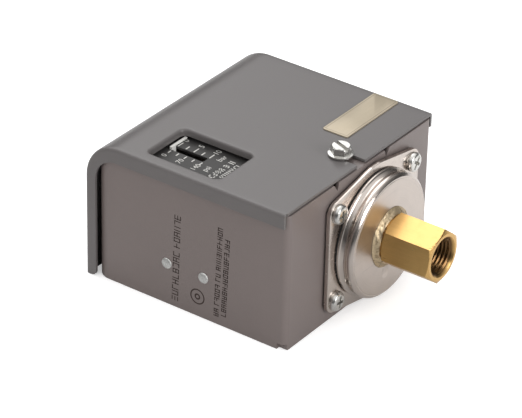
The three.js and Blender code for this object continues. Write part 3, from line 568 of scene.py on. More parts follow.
class Finish(Nodes):
    """One material: its Principled shader, its Object coordinates in millimetres and its nodes."""

    def __init__(self, name):
        self.material = bpy.data.materials.new(name)
        self.material.use_nodes = True
        super().__init__(self.material.node_tree)
        self.tree.nodes.clear()
        self.shader = self.tree.nodes.new("ShaderNodeBsdfPrincipled")
        output = self.tree.nodes.new("ShaderNodeOutputMaterial")
        self.tree.links.new(self.shader.outputs[0], output.inputs["Surface"])
        place_node = self.tree.nodes.new("ShaderNodeTexCoord")
        self.place = place_node.outputs["Object"]

    def mapped(self, scale=(1, 1, 1), centre=(0, 0, 0), turn=(0, 0, 0)):
        """Object coordinates about a centre in millimetres, times a scale per millimetre."""
        scale = np.array(scale, float)
        settings = {"vector_type": "POINT"}
        moved = self.node(
            "ShaderNodeMapping", settings, {"Vector": self.place, "Location": Vector(centre) * -MM}
        )[0]
        values = {"Vector": moved, "Rotation": turn, "Scale": tuple(scale / MM)}
        return self.node("ShaderNodeMapping", settings, values)[0]

    def noise(self, per_mm, detail=3.0, roughness=0.55, stretch=(1, 1, 1), seed=0.0, turn=(0, 0, 0)):
        """Noise over the piece, in waves per millimetre, stretched by direction."""
        where = self.mapped(np.array(stretch, float) * per_mm, turn=turn)
        values = {"Vector": where, "W": seed, "Scale": 1.0, "Detail": detail, "Roughness": roughness}
        settings = {"noise_dimensions": "4D"}
        return self.node("ShaderNodeTexNoise", settings, values)[0]

    def specks(self, per_mm, size, seed=0.0):
        """1 in sparse small spots and 0 elsewhere."""
        where = self.mapped((per_mm,) * 3)
        settings = {"voronoi_dimensions": "4D", "feature": "F1"}
        distance = self.node("ShaderNodeTexVoronoi", settings, {"Vector": where, "W": seed, "Scale": 1.0})[0]
        return 1 - distance.between(size * 0.6, size)

    def axes(self, centre=(0, 0, 0)):
        """The three coordinates in millimetres from a centre."""
        where = self.mapped(centre=centre)
        return self.node("ShaderNodeSeparateXYZ", None, {"Vector": where})

    def mix(self, share, first, second):
        """A colour between two colours."""
        values = {0: share, 6: self.solid(first), 7: self.solid(second)}
        return self.node("ShaderNodeMix", {"data_type": "RGBA"}, values)[0]

    def solid(self, shade):
        """A colour value with its alpha, or a link as it is."""
        return shade if isinstance(shade, Term) else (*shade, 1.0)

    def tinted(self, shade, factor):
        """A colour times a number-valued term."""
        values = {0: shade if isinstance(shade, Term) else tuple(shade), "Scale": factor}
        return self.node("ShaderNodeVectorMath", {"operation": "SCALE"}, values)[0]

    def bump(self, height, distance, strength=1.0):
        """Feeds Normal from a height, in millimetres."""
        values = {"Height": height, "Distance": distance * MM, "Strength": strength}
        normal = self.node("ShaderNodeBump", None, values)[0]
        self.feed(self.shader.inputs["Normal"], normal)

    def surface(self, base, roughness, metallic=0.0, **others):
        """Feeds the Principled shader and returns the material."""
        sockets = self.shader.inputs
        base = base if isinstance(base, Term) else (*base, 1.0)
        self.feed(sockets["Base Color"], base)
        self.feed(sockets["Roughness"], roughness)
        self.feed(sockets["Metallic"], metallic)
        for name, value in others.items():
            self.feed(sockets[name.replace("_", " ")], value)
        return self.material


def shaded(shade, factor):
    """A plain colour times a number."""
    return tuple(part * factor for part in shade)


def once(make):
    """Keeps each finish, so that pieces with the same one share it."""
    kept = {}

    def finish(*arguments):
        if arguments not in kept:
            kept[arguments] = make(*arguments)
        return kept[arguments]

    return finish


def settings():
    """The colours that the panel holds."""
    return bpy.context.scene.switch_colours


def sizes(name):
    """A size that the panel holds, in millimetres."""
    return getattr(bpy.context.scene.switch_sizes, name) / MM


# ---------------------------------------------------------------- finishes


@once
def enamel(kind):
    """Semi-gloss grey enamel on steel: orange peel, faint clouds, rubs, dust and pin-head specks."""
    finish = Finish(kind)
    shade = tuple(getattr(settings(), kind))
    clouds = finish.noise(0.05, 4, seed=1.0)
    grain = finish.noise(1.6, 3, seed=2.0)
    peel = finish.noise(1.1, 2, 0.4, seed=3.0)
    rubs = finish.noise(0.5, 4, stretch=(1, 0.06, 1), seed=4.0, turn=(0, 0, 0.5)).between(0.62, 0.74)
    specks = finish.specks(0.22, 0.055, seed=5.0)
    light = 0.93 + clouds * 0.1 + (grain - 0.5) * 0.09 + rubs * 0.035
    base = finish.tinted(shade, light)
    base = finish.mix(specks * 0.5, base, shaded(shade, 0.45))
    roughness = 0.33 + clouds * 0.1 + (grain - 0.5) * 0.12 + rubs * 0.08
    finish.bump(peel * 0.7 + grain * 0.3, 0.035, 0.5)
    return finish.surface(base, roughness, Coat_Weight=0.12, Coat_Roughness=0.25)


@once
def scale_black():
    """Baked black on the scale plate, with dust and fine rubs."""
    finish = Finish("scale_black")
    shade = tuple(settings().scale_black)
    dust = finish.noise(0.35, 5, seed=1.0).between(0.45, 0.8)
    grain = finish.noise(3.0, 2, seed=2.0)
    base = finish.mix(dust * 0.16, finish.tinted(shade, 0.85 + grain * 0.3), (0.2, 0.19, 0.18))
    finish.bump(grain, 0.012, 0.4)
    return finish.surface(base, 0.5 + dust * 0.2)


@once
def nameplate_foil():
    """Brushed tan foil, left blank, with a thin darker border line."""
    finish = Finish("nameplate_foil")
    shade = tuple(settings().nameplate)
    low, high = box("nameplate")
    x, y, _z = finish.axes(tuple((low + high) / 2))
    edge = (abs(x) - (high[0] - low[0]) / 2).math("MAXIMUM", abs(y) - (high[1] - low[1]) / 2)
    line = edge.between(-0.95, -0.85) * (1 - edge.between(-0.65, -0.55))
    brushing = finish.noise(2.2, 3, stretch=(1, 0.05, 1), seed=1.0)
    clouds = finish.noise(0.12, 3, seed=2.0)
    base = finish.tinted(shade, 0.86 + brushing * 0.16 + clouds * 0.14)
    base = finish.mix(line * 0.55, base, shaded(shade, 0.4))
    finish.bump(brushing, 0.01, 0.3)
    return finish.surface(base, 0.36 + brushing * 0.14, 0.35)


@once
def plated(kind, roughness, tarnish):
    """Plated steel: soft brushing, cloudy tarnish and a few darker stains."""
    finish = Finish(f"plated_{kind}")
    shade = tuple(getattr(settings(), kind))
    clouds = finish.noise(0.25, 4, seed=1.0)
    brushing = finish.noise(2.5, 3, stretch=(1, 0.12, 1), seed=2.0)
    stains = finish.noise(0.6, 5, seed=3.0).between(0.58, 0.8)
    base = finish.tinted(shade, 0.9 + brushing * 0.1 + clouds * 0.08)
    base = finish.mix(stains * tarnish, base, shaded(shade, 0.5))
    finish.bump(brushing, 0.008, 0.35)
    return finish.surface(base, roughness + clouds * 0.12 + stains * 0.12, 1.0)


@once
def drawn_nickel():
    """Dull nickel on the drawn cap: rings of turning about its axis, blotches and scratches."""
    finish = Finish("drawn_nickel")
    shade = tuple(settings().nickel)
    _x, y, z = finish.axes(tuple(middle("pressure_cap")))
    radius = (y * y + z * z).math("SQRT")
    rings = finish.node(
        "ShaderNodeTexNoise",
        {"noise_dimensions": "1D"},
        {"W": radius, "Scale": 2.4, "Detail": 4.0, "Roughness": 0.7},
    )[0]
    blotches = finish.noise(0.16, 4, seed=1.0)
    fine = finish.noise(3.0, 2, seed=2.0)
    scratches = finish.noise(0.8, 3, stretch=(1, 0.05, 1), seed=3.0, turn=(0.7, 0, 0)).between(0.66, 0.72)
    light = 0.86 + rings * 0.14 + (blotches - 0.5) * 0.2 + (fine - 0.5) * 0.08
    base = finish.mix(scratches * 0.25, finish.tinted(shade, light), shaded(shade, 0.6))
    finish.bump(rings * 0.7 + fine * 0.3, 0.014, 0.5)
    face = 1 - radius.between(20.4, 21.4)
    return finish.surface(base, 0.12 + face * 0.16 + blotches * 0.12 + fine * 0.06, 1.0)


@once
def spring_wire():
    """Oiled spring steel with drawing marks."""
    finish = Finish("spring_wire")
    shade = tuple(settings().steel)
    marks = finish.noise(1.5, 4, seed=1.0)
    base = finish.tinted(shade, 0.75 + marks * 0.5)
    finish.bump(marks, 0.01, 0.3)
    return finish.surface(base, 0.28 + marks * 0.16, 1.0)


@once
def turned_brass():
    """Brass bar stock: fine lines along the bar, turning lines, and warm tarnish in clouds; the bore is darkened
    with painted shade.
    """
    finish = Finish("turned_brass")
    shade = tuple(settings().brass)
    along = finish.noise(2.0, 4, stretch=(0.06, 1, 1), seed=1.0)
    clouds = finish.noise(0.3, 4, seed=2.0)
    pits = finish.specks(0.9, 0.1, seed=3.0)
    _x, y, z = finish.axes(tuple(middle("pipe_fitting")))
    # Painted shade: inside the bore the brass is darkened nearly to black, for the shade that falls in it.
    bore = 1 - (y * y + z * z).math("SQRT").between(6.6, 7.2)
    base = finish.tinted(shade, 0.84 + along * 0.2 + clouds * 0.12)
    base = finish.mix(clouds.between(0.5, 0.75) * 0.3, base, (0.5, 0.3, 0.1))
    base = finish.mix(pits * 0.4, base, (0.2, 0.11, 0.04))
    # Painted shade in the bore.
    base = finish.mix(bore * 0.86, base, (0.07, 0.032, 0.018))
    finish.bump(along, 0.01, 0.4)
    return finish.surface(base, 0.2 + along * 0.1 + clouds * 0.1, 1.0)


@once
def rough_braze():
    """Golden braze, lumpy and grained, with dark flux in its hollows."""
    finish = Finish("rough_braze")
    shade = tuple(settings().braze)
    lumps = finish.noise(0.9, 4, seed=1.0)
    grain = finish.noise(4.0, 3, seed=2.0)
    flux = 1 - lumps.between(0.34, 0.5)
    base = finish.tinted(shade, 0.7 + lumps * 0.5 + (grain - 0.5) * 0.2)
    base = finish.mix(flux * 0.6, base, (0.16, 0.1, 0.05))
    finish.bump(lumps * 0.7 + grain * 0.3, 0.12, 0.8)
    return finish.surface(base, 0.34 + grain * 0.2 + flux * 0.2, 0.95)


@once
def moulded(kind, roughness):
    """Moulded or pressed insulating stuff: fine grain and faint flow clouds."""
    finish = Finish(f"moulded_{kind}")
    shade = tuple(getattr(settings(), kind))
    grain = finish.noise(2.5, 4, seed=1.0)
    flow = finish.noise(0.2, 3, stretch=(1, 0.4, 1), seed=2.0)
    base = finish.tinted(shade, 0.8 + grain * 0.2 + flow * 0.2)
    finish.bump(grain, 0.02, 0.4)
    return finish.surface(base, roughness + (grain - 0.5) * 0.2)


@once
def printed(kind, shade):
    """Ink or paint printed thin: worn edges and uneven cover."""
    finish = Finish(f"printed_{kind}")
    wear = finish.noise(2.2, 4, seed=1.0)
    base = finish.tinted(shade, 0.82 + wear * 0.36)
    return finish.surface(base, 0.5 + wear * 0.15)


# ---------------------------------------------------------------- the cover

SHEET = 1.0
COVER_CORNER = 14.4  # outer radius between the front and the end wall
FRONT_LIP = 5.6
END_LIP = 4.4
LIP_ARC = 9.0
LIP_FOOT = 2.0
LIP_SETBACK = 0.3
WINDOW_MIDDLE = np.array([-4.55, -27.95])
WINDOW_HALF = np.array([14.75, 10.15])
WINDOW_CORNER = 2.2
WINDOW_DEPTH = 2.6
SLOT_HALF = 2.4
ACCESS_RADIUS = 6.0
MARGIN = 1.2  # flat sheet kept between an opening and the net around it


def cover_path(low, high):
    """Places, outward normals and lip widths along the cover: front, round corner, end wall."""
    window_low, window_high = WINDOW_MIDDLE[0] - WINDOW_HALF[0], WINDOW_MIDDLE[0] + WINDOW_HALF[0]
    turn = sizes("window_round") + MARGIN
    slot_at = middle("cover_screw")[0]
    slot_start = slot_at - SLOT_HALF - MARGIN
    front = stations(
        (low[0] + COVER_CORNER, window_low - turn, 1.5),
        (window_low - turn, window_low + WINDOW_CORNER, 0.55),
        (window_low + WINDOW_CORNER, window_high - WINDOW_CORNER, 2.5),
        (window_high - WINDOW_CORNER, window_high + turn, 0.55),
        (window_high + turn, slot_start, 2.5),
        (slot_start, slot_at, 0.5),
        (slot_at, high[0] - LIP_SETBACK, 1.5),
        (high[0] - LIP_SETBACK, high[0], 1.1),
    )[::-1]
    angle = np.linspace(0, np.pi / 2, 25)[1:]
    hole = middle("range_screw")[2]
    reach = ACCESS_RADIUS + MARGIN
    wall = stations(
        (low[2], low[2] + LIP_FOOT, 0.25),
        (low[2] + LIP_FOOT, hole - reach, 2.5),
        (hole - reach, hole + reach, 0.8),
        (hole + reach, high[2] - COVER_CORNER, 2.5),
    )[::-1][1:]
    centre = np.array([low[0] + COVER_CORNER, high[2] - COVER_CORNER])
    bend = centre + COVER_CORNER * np.stack([-np.sin(angle), np.cos(angle)], axis=-1)
    points = np.vstack(
        [
            np.stack([front, np.full_like(front, high[2])], axis=-1),
            bend,
            np.stack([np.full_like(wall, low[0]), wall], axis=-1),
        ]
    )
    away = points - centre
    away[: len(front), 0] = 0
    away[len(front) + len(bend) :, 1] = 0
    normal = away / np.linalg.norm(away, axis=1)[:, None]
    offset = centre - np.array([low[0] + END_LIP + LIP_ARC, high[2] - FRONT_LIP - LIP_ARC])
    facing = normal @ offset
    lip = COVER_CORNER + facing - np.sqrt(facing**2 - offset @ offset + LIP_ARC**2)
    lip = np.clip(lip, END_LIP, FRONT_LIP)
    above = np.clip(points[:, 1] - low[2], 0, LIP_FOOT)
    lip = lip - LIP_FOOT + np.sqrt(LIP_FOOT**2 - (LIP_FOOT - above) ** 2)
    return points, normal, lip


def cover_rows(low, high):
    """Across the cover: y, fixed depth and share of the lip, from one lip's edge to the other's."""
    bend = sizes("lip_bend")
    angle = np.linspace(0, np.pi / 2, 8)[1:-1]
    turn = sizes("window_round") + MARGIN
    near, far = WINDOW_MIDDLE[1] - WINDOW_HALF[1], WINDOW_MIDDLE[1] + WINDOW_HALF[1]
    hole = middle("range_screw")[1]
    reach = ACCESS_RADIUS + MARGIN
    slot = SLOT_HALF + MARGIN
    flat = stations(
        (low[1] + bend, near - turn, 1.0),
        (near - turn, near + WINDOW_CORNER, 0.55),
        (near + WINDOW_CORNER, hole - reach, 0.8),
        (hole - reach, hole + reach, 0.8),
        (hole + reach, far - WINDOW_CORNER, 0.8),
        (far - WINDOW_CORNER, far + turn, 0.55),
        (far + turn, -slot, 2.5),
        (-slot, slot, 0.6),
        (slot, high[1] - bend, 2.5),
    )
    share = np.linspace(1, 0, 7)
    y = np.concatenate([np.full(7, low[1]), low[1] + bend * (1 - np.cos(angle)), flat])
    depth = np.concatenate([np.full(7, bend), bend * (1 - np.sin(angle)), np.zeros_like(flat)])
    share = np.concatenate([share, np.zeros(len(angle) + len(flat))])
    lip = 7 + len(angle)
    y = np.concatenate([y, low[1] + high[1] - y[:lip][::-1]])
    return y, np.append(depth, depth[:lip][::-1]), np.append(share, share[:lip][::-1]), flat


def within(values, low, high):
    """Rising values between two limits, both kept."""
    return np.sort(values[(values > low - 0.001) & (values < high + 0.001)])


def cover_shells():
    """The cover's outer face: its section carried along its path, with its openings let in."""
    low, high = box("cover")
    bend = sizes("lip_bend")
    points, normal, lip = cover_path(low, high)
    y, depth, share, flat = cover_rows(low, high)
    inward = depth[None, :] + (lip[:, None] - bend) * share[None, :]
    x = points[:, 0, None] - normal[:, 0, None] * inward
    z = points[:, 1, None] - normal[:, 1, None] * inward
    net = np.stack([x, np.broadcast_to(y, x.shape), z], axis=-1)

    x_mid = (points[:-1, 0] + points[1:, 0])[:, None] / 2
    z_mid = (points[:-1, 1] + points[1:, 1])[:, None] / 2
    y_mid = (y[:-1] + y[1:])[None, :] / 2
    edge = WINDOW_HALF + sizes("window_round") + MARGIN
    slot_at = middle("cover_screw")[0]
    slot_start = slot_at - SLOT_HALF - MARGIN
    slot = SLOT_HALF + MARGIN
    hole = middle("range_screw")[1:]
    reach = ACCESS_RADIUS + MARGIN
    on_front = z_mid > high[2] - 0.01
    window = (np.abs(x_mid - WINDOW_MIDDLE[0]) < edge[0]) & (np.abs(y_mid - WINDOW_MIDDLE[1]) < edge[1])
    cut = (window | ((x_mid > slot_start) & (np.abs(y_mid) < slot))) & on_front
    cut |= (x_mid < low[0] + 0.01) & (np.abs(y_mid - hole[0]) < reach) & (np.abs(z_mid - hole[1]) < reach)
    cut |= (x_mid > high[0] - LIP_SETBACK) & ((y_mid < flat[0]) | (y_mid > flat[-1]))
    shells = [grid(net, keep=~cut)]

    def on_top(at, drop):
        return np.stack([at[:, 0], at[:, 1], np.full(len(at), high[2] - drop)], axis=-1)

    def on_wall(at, drop):
        return np.stack([np.full(len(at), low[0] + drop), at[:, 0], at[:, 1]], axis=-1)

    front = points[points[:, 1] > high[2] - 0.01, 0]
    wall = points[points[:, 0] < low[0] + 0.01, 1]
    start, end = WINDOW_MIDDLE - edge, WINDOW_MIDDLE + edge
    loop = rectangle_loop(within(front, start[0], end[0]), within(flat, start[1], end[1]))
    turn = sizes("window_round")
    angle = np.linspace(0, np.pi / 2, 8)
    levels = [(WINDOW_CORNER + turn * (1 - math.sin(a)), turn * (1 - math.cos(a))) for a in angle]
    levels += [(WINDOW_CORNER, depth) for depth in np.linspace(turn, WINDOW_DEPTH, 4)[1:]]
    spine = WINDOW_HALF - WINDOW_CORNER
    rings = hole_rings(loop, WINDOW_MIDDLE - spine, WINDOW_MIDDLE + spine, levels, on_top)
    shells.append(grid(rings, wrap_v=True))

    sides = within(front, slot_start, high[0])
    across = within(flat, -slot, slot)
    near = np.stack([sides[:0:-1], np.full(len(sides) - 1, -slot)], axis=-1)
    back = np.stack([np.full(len(across), slot_start), across], axis=-1)
    far = np.stack([sides[1:], np.full(len(sides) - 1, slot)], axis=-1)
    loop = np.vstack([near, back, far])
    levels = [(SLOT_HALF + 0.5, 0), (SLOT_HALF, 0)]
    shells.append(grid(hole_rings(loop, (slot_at, 0), (2 * high[0], 0), levels, on_top)))

    rows = within(flat, hole[0] - reach, hole[0] + reach)
    columns = within(wall, hole[1] - reach, hole[1] + reach)
    levels = [(ACCESS_RADIUS + 0.5, 0), (ACCESS_RADIUS, 0)]
    rings = hole_rings(rectangle_loop(rows, columns), hole, hole, levels, on_wall)
    shells.append(grid(rings, wrap_v=True))
    return shells


def slab(node, corner, edge=0.1):
    """A thin plate filling a node's box in plan, with round corners and a softened upper edge."""
    low, high = box(node)
    centre = (low + high) / 2
    half = (high - low) / 2
    angle, outline = star_outline(
        lambda u, v: box_distance(u, v, half[0], half[1], corner), 720, float(half.sum())
    )
    levels = [(0, low[2]), (0, high[2] - edge), (edge * 0.3, high[2] - edge * 0.3), (edge, high[2])]
    return plate(angle, outline, levels, UP, centre)


# ---------------------------------------------------------------- fasteners


def pan_screw(node, recess, head_height=2.2, shank=0.56):
    """A pan-head screw along X or Z, filling its node's box."""
    low, high = box(node)
    spans = high - low
    along = int(np.argmax(spans == spans.max())) if spans[0] > spans[1] else 2
    axis, sides = (RIGHT, (1, 2)) if along == 0 else (UP, (0, 1))
    centre = middle(node)[list(sides)]
    radius = (high - low)[sides[0]] / 2
    top, tip = high[along], low[along]
    seat = top - head_height
    corner = [
        (radius * 0.62, top),
        (radius * 0.9, top - head_height * 0.14),
        (radius, top - head_height * 0.5),
        (radius, seat + 0.15),
        (radius * 0.97, seat),
        (radius * shank, seat),
        (radius * shank, tip + 0.4),
        (radius * shank - 0.3, tip),
    ]
    profile = densified(rounded(corner, 0.25, 4), 0.8)
    return driven_head(axis, centre, profile[0, 0], profile, recess)


def hexagon_screw(node, head_height, flats, washer, washer_height, shank, slot_depth):
    """A slotted hexagon-head screw with a washer face, standing along Z in its node's box."""
    low, high = box(node)
    centre = middle(node)
    top = high[2]
    base = top - head_height
    corner = flats / 2 / math.cos(math.pi / 6)
    profile = [
        (flats / 2 - 0.15, top),
        (corner, top - 0.55),
        (corner, base + 0.02),
        (washer, base),
        (washer, base - washer_height + 0.1),
        (washer - 0.1, base - washer_height),
        (shank, base - washer_height - 0.01),
        (shank, low[2] + 0.4),
        (shank - 0.35, low[2]),
    ]
    profile = densified(np.array(profile), 0.45)
    limit = hexagon_limit(flats, 0.4)
    recess = slot_recess(0.65, 3 * flats, slot_depth, -0.35)
    points, faces = driven_head(UP, centre, profile[0, 0], profile, recess, count=64)
    away = points[:, :2] - centre[:2]
    angle = np.arctan2(away[:, 1], away[:, 0])
    radius = np.hypot(away[:, 0], away[:, 1])
    on_head = points[:, 2] > base - 0.005
    kept = np.where(on_head, np.minimum(radius, limit(angle)), radius)
    points[:, :2] = centre[:2] + away * (kept / np.maximum(radius, 1e-9))[:, None]
    in_slot = on_head & (recess(away[:, 0], away[:, 1]) > slot_depth * 0.5)
    points[:, 2] = np.where(in_slot, np.minimum(points[:, 2], top - slot_depth), points[:, 2])
    return points, faces


def rivet_shell(node):
    """A domed rivet through the near wall: its head outside and its shank behind."""
    low, high = box(node)
    centre = middle(node)
    radius = (high[0] - low[0]) / 2
    seat = box("chassis")[0][1] - 0.05
    t = np.linspace(0, np.pi / 2, 9)
    head = np.stack([radius * np.sin(t), seat - (seat - low[1]) * np.cos(t)], axis=-1)
    shank = [(radius * 0.6, seat), (radius * 0.6, high[1]), (0, high[1])]
    return lathe(np.vstack([head, shank]), FAR, (centre[0], centre[2]), 48)


# ---------------------------------------------------------------- pressure end


def ear_plate_shell():
    """The ear plate: lines tangent to four ear corners and a round bulge, as a stretched band.

    In the wedge that a corner's arc spans, the distance is to the corner's circle; elsewhere it is
    to the furthest of the straight sides and the tangent lines. A hole lets the follower disc through.
    """
    low, high = box("flange_plate")
    centre = middle("flange_plate")
    half = (high - low)[1:] / 2
    corner = 4.5
    bulge_rise = 3.8
    ear = np.array([half[0] - corner, half[1] - bulge_rise - corner])
    lean = math.atan2(ear[1], ear[0]) + math.acos((half[1] - corner) / np.hypot(*ear))

    def inside_distance(u, v):
        a, b = np.abs(u), np.abs(v)
        past = np.arctan2(b - ear[1], a - ear[0])
        round_corner = np.hypot(a - ear[0], b - ear[1]) - corner
        tangent = a * math.cos(lean) + b * math.sin(lean) - half[1]
        straight = np.maximum.reduce([a - half[0], b - half[1], tangent])
        return np.where((past > 0) & (past < lean), round_corner, straight)

    count = 720
    furthest = 60.0
    angle, outline = star_outline(inside_distance, count, furthest)
    edge = 0.22
    hole = np.full(count, 13.0)
    rings = [
        (hole, low[0]),
        (outline - edge, low[0]),
        (outline - edge * 0.3, low[0] + edge * 0.3),
        (outline, low[0] + edge),
        (outline, high[0] - edge),
        (outline - edge * 0.3, high[0] - edge * 0.3),
        (outline - edge, high[0]),
        (outline * 0.7, high[0]),
        (hole, high[0]),
    ]
    nets = [
        place(RIGHT, centre[1:], radius * np.cos(angle), radius * np.sin(angle), x) for radius, x in rings
    ]
    return grid(np.stack(nets), wrap_u=True, wrap_v=True)


def port_axis():
    """Where the port's axis stands across X: (y, z)."""
    return middle("pipe_fitting")[1:]


def pressure_cap_shell():
    """The drawn cap: foot, wall with two grooves, rounded shoulder, flat face with a dimple."""
    low, high = box("pressure_cap")
    foot = (high[1] - low[1]) / 2
    wall = foot - 0.5
    face = high[0]
    bore = (box("pipe_fitting")[1][1] - port_axis()[0]) * 0.8
    outer = [
        (wall - 0.9, low[0]),
        (foot, low[0]),
        (foot, low[0] + 0.8),
        (wall, low[0] + 1.1),
        (wall - 0.55, low[0] + 2.1),
        (wall - 0.55, low[0] + 3.0),
        (wall, low[0] + 3.7),
        (wall, face - 1.0),
        (wall - 1.1, face - 0.02),
        (wall - 1.45, face - 0.2),
        (wall - 1.75, face),
        (bore, face),
    ]
    inner = [(bore, face - 0.9), (wall - 1.7, face - 0.9), (wall - 0.9, face - 1.7)]
    profile = np.vstack([rounded(outer, 0.45, 5), inner, outer[:1]])
    profile = densified(profile, 0.7)
    dimple_angle = math.radians(-97)
    dimple_from_axis = 13.2

    def dimple(radius, height, angle):
        u = radius * np.cos(angle) - dimple_from_axis * math.cos(dimple_angle)
        v = radius * np.sin(angle) - dimple_from_axis * math.sin(dimple_angle)
        sunk = 0.3 * (1 - eased(np.hypot(u, v), 1.2, 2.2))
        dish = 0.06 * ripple(u * 0.12, v * 0.12, 1.0)
        return radius, height - np.where(height > face - 1.5, sunk + dish * (radius < wall - 1.8), 0)

    return lathe(profile, RIGHT, port_axis(), 288, dimple)


def braze_shell():
    """The ring of braze: a fillet section turned about the port, with uneven lumps."""
    low, high = box("braze_ring")
    outer = (high[1] - low[1]) / 2
    inner = outer - 1.7
    top = high[0] + 0.55
    height = top - low[0]
    section = [
        (inner, low[0]),
        (outer + 0.9, low[0]),
        (outer + 0.1, low[0] + height * 0.25),
        (outer - 0.6, low[0] + height * 0.65),
        (outer - 1.2, top),
        (inner, top),
        (inner, low[0]),
    ]
    lumps = sizes("braze_lumps")

    def uneven(radius, along, angle):
        coarse = ripple(np.cos(angle) * 2.6, np.sin(angle) * 2.6 + along * 0.8, 2.0)
        fine = ripple(np.cos(angle) * 9, np.sin(angle) * 9 + along * 2.2, 5.0)
        lift = lumps * (coarse + 0.6 * fine)
        rise = eased(along, low[0], top)
        return radius + lift * (radius > inner + 0.1), along - np.abs(lift) * 0.7 * rise

    return lathe(densified(rounded(section, 0.35, 5), 0.3), RIGHT, port_axis(), 192, uneven)


def fitting_shell():
    """The brass fitting: spigot, neck, chamfered hexagon, and a bore with its thread."""
    low, high = box("pipe_fitting")
    flats = 17.46
    turn = math.radians(21)
    corner = flats / 2 / math.cos(math.pi / 6)
    start = box("braze_ring")[1][0] + 0.7
    end = high[0]
    neck = 8.6
    mouth = 7.0
    root = 6.2
    throat = 1.75
    thread_end = end - 13.5
    chamfer = 0.85
    outer = [
        (throat, low[0]),
        (neck - 0.6, low[0]),
        (neck, low[0] + 0.6),
        (neck, start),
        (flats / 2 - 0.1, start + 0.01),
        (corner, start + chamfer),
        (corner, end - chamfer),
        (flats / 2 - 0.35, end),
        (mouth + 0.35, end),
    ]
    inner = [
        (mouth - 0.5, end - 0.9),
        (root, thread_end),
        (root - 0.9, thread_end - 1.2),
        (throat, thread_end - 1.5),
        (throat, low[0]),
    ]
    profile = np.vstack([densified(np.array(outer), 0.6), densified(np.array(inner), 0.16)])
    limit = hexagon_limit(flats, turn)
    pitch = sizes("thread_pitch")

    def shape(radius, height, angle):
        on_hexagon = (height > start + 0.005) & (radius > mouth + 0.3)
        radius = np.where(on_hexagon, np.minimum(radius, limit(angle)), radius)
        phase = (height / pitch - angle / (2 * np.pi)) % 1
        ridge = 0.42 * (1 - np.abs(2 * phase - 1) * 2)
        threaded = (radius < mouth) & (radius > root - 0.05) & (height > thread_end)
        fade = np.clip((end - 0.5 - height) / 0.8, 0, 1)
        return radius + np.where(threaded, ridge * fade, 0), height

    return lathe(profile, RIGHT, port_axis(), 240, shape)


# ---------------------------------------------------------------- springs and adjusters


def threaded_rod_shell(node, head_radius, head_length, shaft, pitch, slot_depth):
    """A slotted cap screw lying along X with its head at the low end and a rolled thread."""
    low, high = box(node)
    axis_at = middle(node)[1:]
    start = low[0] + head_length
    outer = [
        (0, low[0]),
        (head_radius - 0.4, low[0]),
        (head_radius, low[0] + 0.4),
        (head_radius, start),
        (shaft, start),
        (shaft, high[0] - 0.5),
        (shaft - 0.5, high[0]),
        (0, high[0]),
    ]
    profile = densified(np.array(outer, float), 0.2)

    def shape(radius, height, angle):
        phase = (height / pitch - angle / (2 * np.pi)) % 1
        threaded = (radius > shaft - 0.01) & (radius < shaft + 0.01) & (height > start + 4)
        radius = radius - np.where(threaded, 0.3 * (1 - np.abs(2 * phase - 1)), 0)
        slotted = (np.abs(radius * np.cos(angle)) < 0.7) & (height < low[0] + slot_depth)
        return radius, np.where(slotted, low[0] + slot_depth, height)

    return lathe(profile, RIGHT, axis_at, 144, shape)


def thumbwheel_shell():
    """The differential's toothed wheel and its hub, turned along X with square-shouldered teeth."""
    low, high = box("diff_wheel")
    axis_at = middle("diff_wheel")[1:]
    radius = (high[1] - low[1]) / 2
    wheel = low[0] + 5.7
    hub = 3.0
    teeth = 20
    outer = [
        (0, low[0]),
        (radius - 0.5, low[0]),
        (radius, low[0] + 0.5),
        (radius, wheel - 0.5),
        (radius - 0.5, wheel),
        (hub, wheel),
        (hub, high[0] - 0.4),
        (hub - 0.4, high[0]),
        (0, high[0]),
    ]

    def shape(reach, height, angle):
        notch = eased(np.cos(teeth * angle), 0.2, 0.7)
        return reach - np.where(reach > radius - 1.2, 0.7 * notch, 0), height

    return lathe(densified(np.array(outer, float), 0.5), RIGHT, axis_at, 480, shape)


# ---------------------------------------------------------------- printing


def figure_shell(words, height, at, top):
    """Figures made a mesh: they read along +Y and their tops lie towards -X."""
    curve = bpy.data.curves.new("figure", "FONT")
    curve.body = words
    curve.size = height * 1.4 * MM
    curve.align_x = "CENTER"
    curve.align_y = "CENTER"
    curve.resolution_u = 3
    curve.extrude = 0.01 * MM
    carrier = bpy.data.objects.new("figure", curve)
    bpy.context.scene.collection.objects.link(carrier)
    evaluated = carrier.evaluated_get(bpy.context.evaluated_depsgraph_get())
    mesh = bpy.data.meshes.new_from_object(evaluated)
    flat = np.empty(len(mesh.vertices) * 3)
    mesh.vertices.foreach_get("co", flat)
    flat = flat.reshape(-1, 3) / MM
    points = np.stack([at[0] - flat[:, 1], at[1] + flat[:, 0], top + flat[:, 2]], axis=-1)
    faces = [list(face.vertices) for face in mesh.polygons]
    bpy.data.objects.remove(carrier)
    bpy.data.curves.remove(curve)
    bpy.data.meshes.remove(mesh)
    return points, faces


